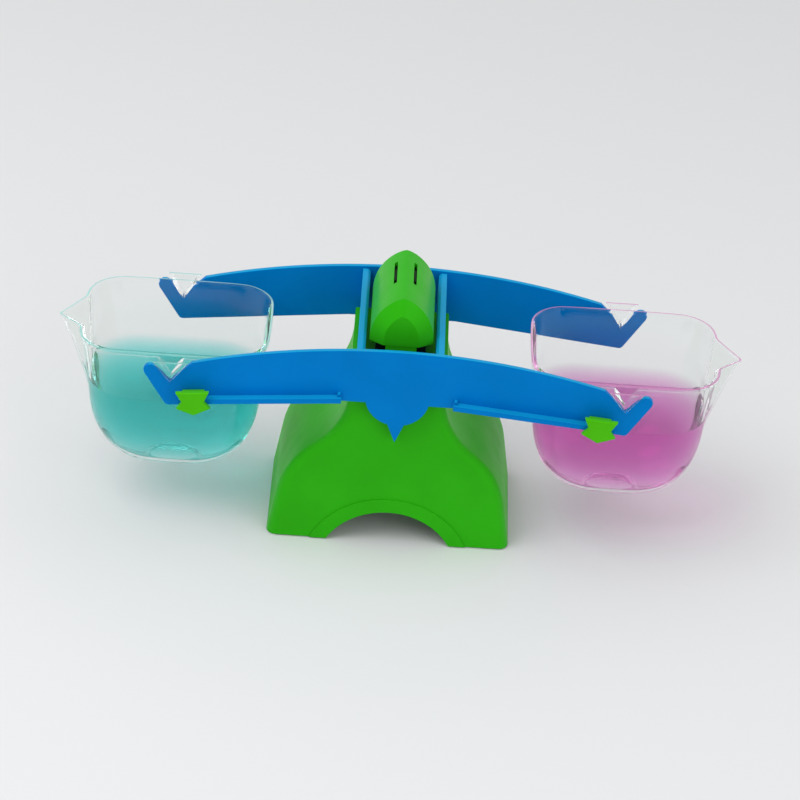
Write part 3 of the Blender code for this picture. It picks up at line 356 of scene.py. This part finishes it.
def moulded_plastic(name, colour, roughness, peel_width=PEEL_WIDTH, peel_depth=PEEL_DEPTH):
    """Injection-moulded ABS: deep even colour, faint clouds, tinted soft gloss, fine orange peel."""
    material, tree, output = start_material(name)
    place = add_node(tree, "ShaderNodeTexCoord").outputs["Object"]
    clouds = add_node(tree, "ShaderNodeTexNoise", {"Vector": place, "Scale": 1 / CLOUD_WIDTH,
                                                   "Detail": 3})
    tone = add_node(tree, "ShaderNodeValToRGB", {"Fac": clouds.outputs["Fac"]})
    for stop, position, factor in zip(tone.color_ramp.elements, COMMON_NOISE, CLOUD_SHADES):
        stop.position = position
        stop.color = shade(colour, factor)
    handling = add_node(tree, "ShaderNodeTexNoise", {"Vector": place, "Scale": 1 / HANDLING_WIDTH,
                                                     "Detail": 4})
    gloss = add_node(tree, "ShaderNodeMapRange", {
        "Value": handling.outputs["Fac"], "From Min": COMMON_NOISE[0], "From Max": COMMON_NOISE[1],
        "To Min": roughness + HANDLING_GLOSS[0], "To Max": roughness + HANDLING_GLOSS[1]})
    peel = add_node(tree, "ShaderNodeTexNoise", {"Vector": place, "Scale": 1 / peel_width, "Detail": 2})
    bump = add_node(tree, "ShaderNodeBump", {"Height": peel.outputs["Fac"], "Strength": 0.12,
                                             "Distance": peel_depth})
    shader = add_node(tree, "ShaderNodeBsdfPrincipled", {
        "Base Color": tone.outputs["Color"], "Roughness": gloss.outputs["Result"], "IOR": ABS_IOR,
        "Specular IOR Level": ABS_SPECULAR, "Specular Tint": gloss_tint(colour),
        "Sheen Weight": ABS_SHEEN, "Sheen Roughness": ABS_SHEEN_ROUGHNESS,
        "Sheen Tint": gloss_tint(colour), "Normal": bump.outputs["Normal"]})
    tree.links.new(shader.outputs["BSDF"], output.inputs["Surface"])
    return material


def clear_styrene(name, tint):
    """Polished clear polystyrene that hardly shows, with a painted reflection of the water's colour where
    seen edge-on.
    """
    material, tree, output = start_material(name)
    place = add_node(tree, "ShaderNodeTexCoord").outputs["Object"]
    wipes = add_node(tree, "ShaderNodeTexNoise", {"Vector": place, "Scale": 1 / WALL_WIPE_WIDTH,
                                                  "Detail": 3})
    gloss = add_node(tree, "ShaderNodeMapRange", {
        "Value": wipes.outputs["Fac"], "From Min": WIPE_NOISE[0], "From Max": WIPE_NOISE[1],
        "To Min": WIPE_GLOSS[0], "To Max": WIPE_GLOSS[1]})
    # Painted reflection: the wall takes the water's tint where it is seen edge-on
    edge_on = add_node(tree, "ShaderNodeLayerWeight", {"Blend": 0.5})
    tone = add_node(tree, "ShaderNodeValToRGB", {"Fac": edge_on.outputs["Facing"]})
    for stop, position, colour in zip(tone.color_ramp.elements, EDGE_ON, (linear(CLEAR_TINT), tint)):
        stop.position = position
        stop.color = colour
    shader = add_node(tree, "ShaderNodeBsdfPrincipled", {
        "Base Color": tone.outputs["Color"], "Roughness": gloss.outputs["Result"], "IOR": CLEAR_WALL_IOR,
        "Transmission Weight": 1.0, "Coat Weight": POLISH_WEIGHT, "Coat Roughness": POLISH_ROUGHNESS})
    tree.links.new(shader.outputs["BSDF"], output.inputs["Surface"])
    return material


def rim_highlight_styrene(name, tint):
    """The rounded lip of a clear bucket: a painted highlight in the water's tint that shows as a fine
    bright line.
    """
    material, tree, output = start_material(name)
    place = add_node(tree, "ShaderNodeTexCoord").outputs["Object"]
    wipes = add_node(tree, "ShaderNodeTexNoise", {"Vector": place, "Scale": 1 / LIP_WIPE_WIDTH,
                                                  "Detail": 3})
    tone = add_node(tree, "ShaderNodeValToRGB", {"Fac": wipes.outputs["Fac"]})
    for stop, factor in zip(tone.color_ramp.elements, LIP_SHADES):
        stop.color = shade(tint, factor)
    # Painted highlight: a half-opaque lip in the water's tint
    shader = add_node(tree, "ShaderNodeBsdfPrincipled", {
        "Base Color": tone.outputs["Color"], "Roughness": LIP_ROUGHNESS, "IOR": CLEAR_LIP_IOR,
        "Transmission Weight": LIP_TRANSMISSION, "Coat Weight": POLISH_WEIGHT,
        "Coat Roughness": POLISH_ROUGHNESS})
    tree.links.new(shader.outputs["BSDF"], output.inputs["Surface"])
    return material


def tinted_water(name, colour, density):
    """Water with food colouring: clear and wet, deeper in colour where more of it is looked through."""
    material, tree, output = start_material(name)
    shader = add_node(tree, "ShaderNodeBsdfPrincipled", {
        "Base Color": (1, 1, 1, 1), "Roughness": 0.0, "IOR": WATER_IOR, "Transmission Weight": 1.0})
    absorption = add_node(tree, "ShaderNodeVolumeAbsorption", {"Color": colour, "Density": density})
    tree.links.new(shader.outputs["BSDF"], output.inputs["Surface"])
    tree.links.new(absorption.outputs["Volume"], output.inputs["Volume"])
    return material


def ground_steel(name, colour, roughness, mark_width):
    """Turned or plated steel: fine tool marks that break up the gloss."""
    material, tree, output = start_material(name)
    place = add_node(tree, "ShaderNodeTexCoord").outputs["Object"]
    marks = add_node(tree, "ShaderNodeTexNoise", {"Vector": place, "Scale": 1 / mark_width, "Detail": 5})
    gloss = add_node(tree, "ShaderNodeMapRange", {
        "Value": marks.outputs["Fac"], "To Min": roughness + MARK_GLOSS[0],
        "To Max": roughness + MARK_GLOSS[1]})
    bump = add_node(tree, "ShaderNodeBump", {"Height": marks.outputs["Fac"], "Strength": 0.3,
                                             "Distance": MARK_DEPTH})
    shader = add_node(tree, "ShaderNodeBsdfPrincipled", {
        "Base Color": colour, "Metallic": 1.0, "Roughness": gloss.outputs["Result"],
        "Normal": bump.outputs["Normal"]})
    tree.links.new(shader.outputs["BSDF"], output.inputs["Surface"])
    return material


def matt_polymer(name, colour, roughness, grain_width):
    """Nylon or rubber: matt, with a fine even grain."""
    material, tree, output = start_material(name)
    place = add_node(tree, "ShaderNodeTexCoord").outputs["Object"]
    grains = add_node(tree, "ShaderNodeTexNoise", {"Vector": place, "Scale": 1 / grain_width,
                                                   "Detail": 4})
    tone = add_node(tree, "ShaderNodeValToRGB", {"Fac": grains.outputs["Fac"]})
    for stop, factor in zip(tone.color_ramp.elements, GRAIN_SHADES):
        stop.color = shade(colour, factor)
    bump = add_node(tree, "ShaderNodeBump", {"Height": grains.outputs["Fac"], "Strength": 0.4,
                                             "Distance": GRAIN_DEPTH})
    shader = add_node(tree, "ShaderNodeBsdfPrincipled", {
        "Base Color": tone.outputs["Color"], "Roughness": roughness, "Normal": bump.outputs["Normal"]})
    tree.links.new(shader.outputs["BSDF"], output.inputs["Surface"])
    return material


def studio_paper(colour):
    """Matt studio paper: plain and even, with faint fibres."""
    material, tree, output = start_material("matt studio paper")
    place = add_node(tree, "ShaderNodeTexCoord").outputs["Object"]
    fibres = add_node(tree, "ShaderNodeTexNoise", {"Vector": place, "Scale": 1 / FIBRE_WIDTH,
                                                   "Detail": 3})
    bump = add_node(tree, "ShaderNodeBump", {"Height": fibres.outputs["Fac"], "Strength": 0.05,
                                             "Distance": FIBRE_DEPTH})
    shader = add_node(tree, "ShaderNodeBsdfPrincipled", {
        "Base Color": colour, "Roughness": PAPER_ROUGHNESS, "Specular IOR Level": PAPER_SPECULAR,
        "Normal": bump.outputs["Normal"]})
    tree.links.new(shader.outputs["BSDF"], output.inputs["Surface"])
    return material


def new_object(name, bm):
    """Put a mesh into the scene as an object."""
    mesh = bpy.data.meshes.new(name)
    bm.to_mesh(mesh)
    bm.free()
    obj = bpy.data.objects.new(name, mesh)
    bpy.context.scene.collection.objects.link(obj)
    return obj


def place_piece(name, bm, materials, body):
    """Make a piece of a mesh with its materials and let it ride on a body."""
    obj = new_object(name, bm)
    for material in materials:
        obj.data.materials.append(material)
    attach(obj, body)
    return obj


def smooth_faces(bm, angle):
    """Shade a mesh smooth, apart from its sharper edges."""
    for face in bm.faces:
        face.smooth = True
    for edge in bm.edges:
        edge.smooth = edge.is_manifold and edge.calc_face_angle() < angle


def round_sharp_edges(bm, radius):
    """Bevel the sharp edges of a closed mesh."""
    sharp = [edge for edge in bm.edges if edge.calc_face_angle() > SHARP_ANGLE]
    bmesh.ops.bevel(bm, geom=sharp, offset=radius, offset_type="OFFSET", segments=ROUNDING_SEGMENTS,
                    profile=0.5, affect="EDGES", clamp_overlap=True, material=-1)


def moulded_copy(node, material, edge_round=0.0, upper=None):
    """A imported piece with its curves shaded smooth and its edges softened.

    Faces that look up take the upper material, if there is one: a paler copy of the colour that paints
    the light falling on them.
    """
    source = frame["nodes"][node]
    bm = bmesh.new()
    bm.from_mesh(source.data)
    bmesh.ops.remove_doubles(bm, verts=bm.verts, dist=MERGE_DISTANCE)
    if edge_round:
        bmesh.ops.dissolve_limit(bm, angle_limit=FLAT_ANGLE, verts=bm.verts, edges=bm.edges)
    smooth_faces(bm, MOULDED_SMOOTH_ANGLE)
    materials = [material]
    if upper:
        materials.append(upper)
    for face in bm.faces:
        face.material_index = int(upper is not None and face.normal.z > BEAM_TOP_NORMAL)
    obj = place_piece(node + "_finish", bm, materials, source["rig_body"])
    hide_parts(node)
    if edge_round:
        bevel = obj.modifiers.new("softened edges", "BEVEL")
        bevel.width = edge_round
        bevel.segments = ROUNDING_SEGMENTS
        bevel.limit_method = "ANGLE"
        bevel.angle_limit = SHARP_ANGLE
        bevel.harden_normals = True
    normals = obj.modifiers.new("flat faces stay flat", "WEIGHTED_NORMAL")
    normals.keep_sharp = True


def arc(centre, radius, start, end, steps):
    """Points on an arc in a plane, both ends included."""
    angles = [start + (end - start) * step / steps for step in range(steps + 1)]
    return [(centre[0] + radius * math.cos(angle), centre[1] + radius * math.sin(angle))
            for angle in angles]


def lofted(rings, highlight_strips=()):
    """Extrude a closed ring of points through the other rings into one closed skin.

    A strip that is listed by the number of its upper ring gets the rim's painted highlight.
    """
    bm = bmesh.new()
    verts = [bm.verts.new(point) for point in rings[0]]
    edges = [bm.edges.new(pair) for pair in zip(verts, verts[1:] + verts[:1])]
    bm.faces.new(verts)
    for number, ring in enumerate(rings[1:], 1):
        grown = set(bmesh.ops.extrude_edge_only(bm, edges=edges)["geom"])
        for face in grown:
            if isinstance(face, bmesh.types.BMFace):
                face.material_index = int(number in highlight_strips)
        verts = [next(edge.other_vert(vert) for edge in vert.link_edges if edge.other_vert(vert) in grown)
                 for vert in verts]
        for vert, point in zip(verts, ring):
            vert.co = point
        edges = [bm.edges.get(pair) for pair in zip(verts, verts[1:] + verts[:1])]
    bm.faces.new(verts)
    bmesh.ops.recalc_face_normals(bm, faces=bm.faces)
    return bm


def bucket_ring(depth, half_x, half_y, corner, side):
    """A level section of a bucket at a depth below its rim, with the spout at its outer end."""
    share = max(0, 1 - depth / SPOUT_DEPTH)
    reach = SPOUT_REACH * share
    narrow = SPOUT_TIP_HALF_WIDTH + 2 * SPOUT_ROUND
    root = narrow + (SPOUT_HALF_WIDTH - narrow) * share
    squeeze = min(1, SPOUT_TIP_SHARE * (half_y - corner) / (root + SPOUT_ROUND))
    half = [(half_x + reach, squeeze * SPOUT_TIP_HALF_WIDTH),
            (half_x + reach * SPOUT_TIP_SHARE, squeeze * (SPOUT_TIP_HALF_WIDTH + SPOUT_ROUND)),
            (half_x + reach * SPOUT_ROOT_SHARE, squeeze * (root - SPOUT_ROUND / 2)),
            (half_x, squeeze * (root + SPOUT_ROUND))]
    half += arc((half_x - corner, half_y - corner), corner, 0, math.pi / 2, CORNER_STEPS)
    half += arc((corner - half_x, half_y - corner), corner, math.pi / 2, math.pi, CORNER_STEPS)
    ring = half + [(x, -y) for x, y in reversed(half)]
    dip = SPOUT_DIP * share / SPOUT_REACH
    return [(side * (ARM_LENGTH + x), BUCKET_MIDDLE_Y + y, RIM_HEIGHT - depth - dip * max(0, x - half_x))
            for x, y in ring]


def bucket_sections(inset, foot=True):
    """Depth, half length, half width and corner of a bucket's skin, from the rim to the bottom.

    The outside ends in a hollow foot, and a skin without the foot closes smoothly above it.
    """
    bottom_height = TURN_HEIGHT - inset - (0 if foot else FLOOR_RISE)
    foot_rise = FOOT_RISE if foot else 0
    rim_x = BUCKET_LENGTH / 2 - LIP_WIDTH
    rim_y = BUCKET_WIDTH / 2 - LIP_WIDTH
    turn_depth = BUCKET_HEIGHT - TURN_HEIGHT
    growth = TURN_CORNER_RADIUS - CORNER_RADIUS
    sections = []
    for step in range(WALL_STEPS + 1):
        depth = turn_depth * step / WALL_STEPS
        half_x = rim_x - depth * math.tan(END_DRAFT)
        half_y = rim_y - depth * math.tan(SIDE_DRAFT)
        sections.append((depth, half_x, half_y, CORNER_RADIUS + growth * step / WALL_STEPS))
    _, turn_x, turn_y, corner = sections[-1]
    for step in range(1, TURN_STEPS + 1):
        angle = math.pi / 2 * step / TURN_STEPS
        drawn_in = 1 - math.cos(angle) ** (2 / TURN_POWER)
        sections.append((turn_depth + bottom_height * math.sin(angle) ** (2 / TURN_POWER),
                         turn_x + (BOTTOM_LENGTH / 2 - turn_x) * drawn_in,
                         turn_y + (BOTTOM_WIDTH / 2 - turn_y) * drawn_in,
                         corner + (BOTTOM_CORNER_RADIUS - corner) * drawn_in))
    for size_share, rise_share in FOOT_STEPS:
        sections.append((turn_depth + bottom_height - foot_rise * rise_share,
                         BOTTOM_LENGTH / 2 * size_share, BOTTOM_WIDTH / 2 * size_share,
                         BOTTOM_CORNER_RADIUS * size_share))
    return [(depth, x - inset, y - inset, corner - inset) for depth, x, y, corner in sections]


def bucket_skin(side):
    """Closed skin of a bucket: bottom, outside, lip, inside."""
    outside = [bucket_ring(*section, side) for section in bucket_sections(0)]
    inside = [bucket_ring(*section, side) for section in bucket_sections(BUCKET_WALL, foot=False)]
    lip = [bucket_ring(depth, BUCKET_LENGTH / 2, BUCKET_WIDTH / 2, CORNER_RADIUS + LIP_WIDTH, side)
           for depth in (LIP_THICKNESS, 0)]
    under_lip = bucket_ring(LIP_THICKNESS, BUCKET_LENGTH / 2 - LIP_WIDTH, BUCKET_WIDTH / 2 - LIP_WIDTH,
                            CORNER_RADIUS, side)
    # Inside this ring the lip's top strip takes the painted highlight
    highlight_edge = bucket_ring(0, BUCKET_LENGTH / 2 - RIM_HIGHLIGHT_WIDTH, BUCKET_WIDTH / 2 - RIM_HIGHLIGHT_WIDTH,
                              CORNER_RADIUS + LIP_WIDTH - RIM_HIGHLIGHT_WIDTH, side)
    below = outside[:0:-1] + [under_lip] + lip
    bm = lofted(below + [highlight_edge] + inside, highlight_strips=[len(below)])
    round_sharp_edges(bm, LIP_EDGE_ROUND)
    return bm


def lug_outline(half_angle, tip, top, side):
    """A wedge with its rounded edge on the bucket's swing axis."""
    rise = top - LUG_AXIS_HEIGHT
    half = tip * math.cos(half_angle) + (rise + tip * math.sin(half_angle)) * math.tan(half_angle)
    centre = (side * ARM_LENGTH, LUG_AXIS_HEIGHT)
    points = arc(centre, tip, half_angle - math.pi, -half_angle, LUG_TIP_STEPS)
    return points + [(centre[0] + half, top), (centre[0] - half, top)]


def lug(side, face):
    """The wedge through a beam's notch with its wider end plate; face is -1 front, 1 back."""
    top = RIM_HEIGHT - LUG_TOP_DROP
    wedge = lug_outline(LUG_HALF_ANGLE, LUG_TIP_RADIUS, top - LUG_TOP_DROP, side)
    plate = lug_outline(LUG_PLATE_HALF_ANGLE, LUG_PLATE_TIP_RADIUS, top, side)
    sunk = BUCKET_WALL / 2 + (top - LUG_AXIS_HEIGHT) / 2 * math.tan(SIDE_DRAFT)
    root = BUCKET_WIDTH / 2 - LIP_WIDTH - sunk
    stations = [(root, wedge), (LUG_PLATE_BACK, wedge), (LUG_PLATE_BACK, plate),
                (LUG_PLATE_BACK + LUG_PLATE_THICKNESS, plate)]
    bm = lofted([[(x, BUCKET_MIDDLE_Y + face * y, z) for x, z in outline] for y, outline in stations])
    round_sharp_edges(bm, LUG_EDGE_ROUND)
    return bm


def finished_mesh(helper):
    """The mesh of a helper object with its modifiers applied. The helper is removed."""
    graph = bpy.context.evaluated_depsgraph_get()
    bm = bmesh.new()
    bm.from_mesh(helper.evaluated_get(graph).to_mesh())
    bpy.data.objects.remove(helper)
    return bm


def subdivided(bm):
    """The mesh after smooth subdivision."""
    helper = new_object("helper", bm)
    rounding = helper.modifiers.new("rounding", "SUBSURF")
    rounding.levels = SMOOTHING_LEVELS
    rounding.render_levels = SMOOTHING_LEVELS
    return finished_mesh(helper)


def union(first, second):
    """Two closed meshes as one."""
    body = new_object("helper", first)
    other = new_object("helper", second)
    joint = body.modifiers.new("join", "BOOLEAN")
    joint.operation = "UNION"
    joint.solver = "EXACT"
    joint.object = other
    joined = finished_mesh(body)
    bpy.data.objects.remove(other)
    return joined


def make_bucket(side, name, wall, rim):
    """A clear bucket with its lugs, smooth all round. The lugs' tops take the rim's painted highlight."""
    bm = subdivided(bucket_skin(side))
    for face in (-1, 1):
        bm = union(bm, lug(side, face))
    for face in bm.faces:
        on_plate = abs(face.calc_center_median().y - BUCKET_MIDDLE_Y) > LUG_PLATE_BACK
        # Upward faces of the lug plates take the rim's painted highlight
        if on_plate and face.normal.z > LUG_TOP_NORMAL:
            face.material_index = 1
    smooth_faces(bm, BUCKET_SMOOTH_ANGLE)
    bucket = place_piece(name + "_bucket_wall", bm, [wall, rim], name + "_bucket_body")
    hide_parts(name + "_bucket")


def make_water(side, name, material, settings):
    """The water in a bucket, against its wall and up to the water line."""
    sections = bucket_sections(BUCKET_WALL - WATER_OVERLAP, foot=False)
    bm = subdivided(lofted([bucket_ring(*section, side) for section in sections]))
    geometry = bm.verts[:] + bm.edges[:] + bm.faces[:]
    cut = bmesh.ops.bisect_plane(bm, geom=geometry, dist=CUT_DISTANCE, plane_co=(0, 0, settings.level),
                                 plane_no=(0, 0, 1), clear_outer=True)
    line = [item for item in cut["geom_cut"] if isinstance(item, bmesh.types.BMEdge)]
    surface = bmesh.ops.contextual_create(bm, geom=line)["faces"]
    for width in MENISCUS_WIDTHS:
        bmesh.ops.inset_region(bm, faces=surface, thickness=width,
                               depth=-settings.meniscus / len(MENISCUS_WIDTHS))
    bmesh.ops.recalc_face_normals(bm, faces=bm.faces)
    smooth_faces(bm, WATER_SMOOTH_ANGLE)
    place_piece(name + "_water", bm, [material], name + "_bucket_body")


class BALANCE_OT_base(bpy.types.Operator):
    """Dress the base, its post and the cap over the rod"""
    bl_idname = "balance.base"
    bl_label = "Base and cap"

    def execute(self, context):
        settings = context.scene.balance_plastic
        green = moulded_plastic("green ABS", settings.base_colour, BASE_ROUGHNESS)
        polished = moulded_plastic("polished green ABS", settings.base_colour, CAP_ROUGHNESS,
                                   peel_depth=CAP_PEEL_DEPTH)
        # The post is painted near-black as shade for the gaps under the cap
        black = moulded_plastic("black painted shade", linear(POST_SHADE_BLACK), POST_ROUGHNESS)
        moulded_copy("base_shell", green, settings.edge_round)
        moulded_copy("head_cap", polished)
        moulded_copy("pivot_post", black, settings.edge_round)
        return {"FINISHED"}


class BALANCE_OT_beams(bpy.types.Operator):
    """Dress the two beams and the crossbars between them"""
    bl_idname = "balance.beams"
    bl_label = "Beams"

    def execute(self, context):
        settings = context.scene.balance_plastic
        blue = moulded_plastic("blue ABS", settings.beam_colour, BEAM_ROUGHNESS)
        # A paler blue paints the highlight of light from above on the beams' upward faces and on the
        # whole crossbars
        bright = moulded_plastic("blue ABS with painted highlight", settings.highlight_colour, BEAM_ROUGHNESS)
        for node in ("front_beam", "rear_beam"):
            moulded_copy(node, blue, settings.edge_round, upper=bright)
        for node in ("left_crossbar", "right_crossbar"):
            moulded_copy(node, bright, settings.edge_round)
        return {"FINISHED"}


class BALANCE_OT_sliders(bpy.types.Operator):
    """Dress the two sliders that zero the balance"""
    bl_idname = "balance.sliders"
    bl_label = "Sliders"

    def execute(self, context):
        settings = context.scene.balance_plastic
        green = moulded_plastic("bright green ABS", settings.clip_colour, SLIDER_ROUGHNESS,
                                peel_width=SLIDER_PEEL_WIDTH)
        for node in ("left_slider", "right_slider"):
            moulded_copy(node, green, settings.edge_round)
        return {"FINISHED"}


class BALANCE_OT_fittings(bpy.types.Operator):
    """Dress the rod, its bushings, the screws and the foot pads"""
    bl_idname = "balance.fittings"
    bl_label = "Rod, screws and pads"

    def execute(self, context):
        steel = ground_steel("ground steel", linear(STEEL_GREY), STEEL_ROUGHNESS, STEEL_MARK_WIDTH)
        zinc = ground_steel("zinc-plated steel", linear(ZINC_GREY), ZINC_ROUGHNESS, ZINC_MARK_WIDTH)
        nylon = matt_polymer("white nylon", linear(NYLON_WHITE), NYLON_ROUGHNESS, NYLON_GRAIN_WIDTH)
        rubber = matt_polymer("grey rubber", linear(RUBBER_GREY), RUBBER_ROUGHNESS, RUBBER_GRAIN_WIDTH)
        finishes = (
            (steel, ("pivot_rod", "left_lower_beam_screw", "left_upper_beam_screw",
                     "right_lower_beam_screw", "right_upper_beam_screw")),
            (zinc, ("front_post_screw", "rear_post_screw")),
            (nylon, ("front_bushing", "rear_bushing")),
            (rubber, ("front_left_pad", "front_right_pad", "rear_left_pad", "rear_right_pad")))
        for material, nodes in finishes:
            for node in nodes:
                moulded_copy(node, material)
        return {"FINISHED"}


class BALANCE_OT_buckets(bpy.types.Operator):
    """Model the two clear buckets with their spouts and lugs"""
    bl_idname = "balance.buckets"
    bl_label = "Buckets"

    def execute(self, context):
        # Each bucket's tint is its water's colour, painted as reflection on the walls and as highlight on
        # the lip
        for side, name, tint in ((-1, "left", LEFT_PAINTED_WATER_TINT), (1, "right", RIGHT_PAINTED_WATER_TINT)):
            make_bucket(side, name, clear_styrene(name + " clear polystyrene", linear(tint)),
                        rim_highlight_styrene(name + " lip of clear polystyrene", linear(tint)))
        return {"FINISHED"}


class BALANCE_OT_water(bpy.types.Operator):
    """Fill the buckets with coloured water"""
    bl_idname = "balance.water"
    bl_label = "Water"

    def execute(self, context):
        settings = context.scene.balance_water
        teal = tinted_water("teal water", settings.left_colour, TEAL_DENSITY)
        make_water(-1, "left", teal, settings)
        pink = tinted_water("pink water", settings.right_colour, PINK_DENSITY)
        make_water(1, "right", pink, settings)
        return {"FINISHED"}


def make_floor(colour):
    """A wide level floor under the balance."""
    bm = bmesh.new()
    bmesh.ops.create_grid(bm, x_segments=1, y_segments=1, size=FLOOR_REACH)
    floor = new_object("studio_floor", bm)
    floor.data.materials.append(studio_paper(colour))


def make_lamp(name, place, size, power):
    """A square soft lamp that points at the balance."""
    lamp = bpy.data.lights.new(name, "AREA")
    lamp.shape = "SQUARE"
    lamp.size = size
    lamp.energy = power
    obj = bpy.data.objects.new(name, lamp)
    bpy.context.scene.collection.objects.link(obj)
    obj.location = place
    obj.rotation_euler = (Vector(LAMP_TARGET) - Vector(place)).to_track_quat("-Z", "Y").to_euler()


def make_camera(settings):
    """A camera that sees the balance as it is photographed, with the picture's lean."""
    camera = bpy.data.cameras.new("camera")
    obj = bpy.data.objects.new("camera", camera)
    bpy.context.scene.collection.objects.link(obj)
    level = math.cos(settings.elevation)
    direction = Vector((math.sin(settings.azimuth) * level, -math.cos(settings.azimuth) * level,
                        math.sin(settings.elevation)))
    turn = (-direction).to_track_quat("-Z", "Y").to_matrix() @ Matrix.Rotation(settings.roll, 3, "Z")
    place = Vector(VIEW_MIDDLE) + direction * settings.distance
    obj.matrix_world = Matrix.Translation(place) @ turn.to_4x4()
    camera.angle = 2 * math.atan(settings.view_width / 2 / settings.distance)
    camera.clip_start = CLIP_START
    bpy.context.scene.camera = obj


def make_sky(strength):
    """Even white light from all round."""
    world = bpy.data.worlds.new("studio")
    world.use_nodes = True
    background = world.node_tree.nodes["Background"]
    background.inputs["Color"].default_value = (1, 1, 1, 1)
    background.inputs["Strength"].default_value = strength
    bpy.context.scene.world = world


class BALANCE_OT_stage(bpy.types.Operator):
    """Set up the pale floor, the soft lamps and the camera"""
    bl_idname = "balance.stage"
    bl_label = "Studio"

    def execute(self, context):
        settings = context.scene.balance_stage
        make_floor(settings.floor_colour)
        make_sky(settings.sky)
        for name, place, size, power_share in LAMPS:
            make_lamp(name, place, size, settings.key_power * power_share)
        make_camera(settings)
        context.scene.view_settings.view_transform = "Standard"
        context.scene.cycles.max_bounces = LIGHT_BOUNCES
        context.scene.cycles.transmission_bounces = LIGHT_BOUNCES
        context.scene.cycles.glossy_bounces = LIGHT_BOUNCES
        return {"FINISHED"}


class BALANCE_PT_panel(bpy.types.Panel):
    """Lists the pieces of the balance and their settings"""
    bl_label = "Bucket balance"
    bl_idname = "BALANCE_PT_panel"
    bl_space_type = "VIEW_3D"
    bl_region_type = "UI"
    bl_category = "Balance"

    def draw(self, context):
        for settings in (context.scene.balance_plastic, context.scene.balance_water,
                         context.scene.balance_stage):
            box = self.layout.box()
            for name in settings.bl_rna.properties.keys():
                if name not in ("rna_type", "name"):
                    box.prop(settings, name)
        for operator in OPERATORS:
            self.layout.operator(operator.bl_idname)


OPERATORS = (BALANCE_OT_stage, BALANCE_OT_base, BALANCE_OT_beams, BALANCE_OT_sliders, BALANCE_OT_fittings,
             BALANCE_OT_buckets, BALANCE_OT_water)
CLASSES = (PlasticSettings, WaterSettings, StageSettings) + OPERATORS + (BALANCE_PT_panel,)


def register():
    for item in CLASSES:
        bpy.utils.register_class(item)
    bpy.types.Scene.balance_plastic = PointerProperty(type=PlasticSettings)
    bpy.types.Scene.balance_water = PointerProperty(type=WaterSettings)
    bpy.types.Scene.balance_stage = PointerProperty(type=StageSettings)


def unregister():
    del bpy.types.Scene.balance_plastic
    del bpy.types.Scene.balance_water
    del bpy.types.Scene.balance_stage
    for item in reversed(CLASSES):
        bpy.utils.unregister_class(item)


def main():
    register()
    bpy.ops.balance.stage()
    bpy.ops.balance.base()
    bpy.ops.balance.beams()
    bpy.ops.balance.sliders()
    bpy.ops.balance.fittings()
    bpy.ops.balance.buckets()
    bpy.ops.balance.water()


if __name__ == "__main__":
    main()
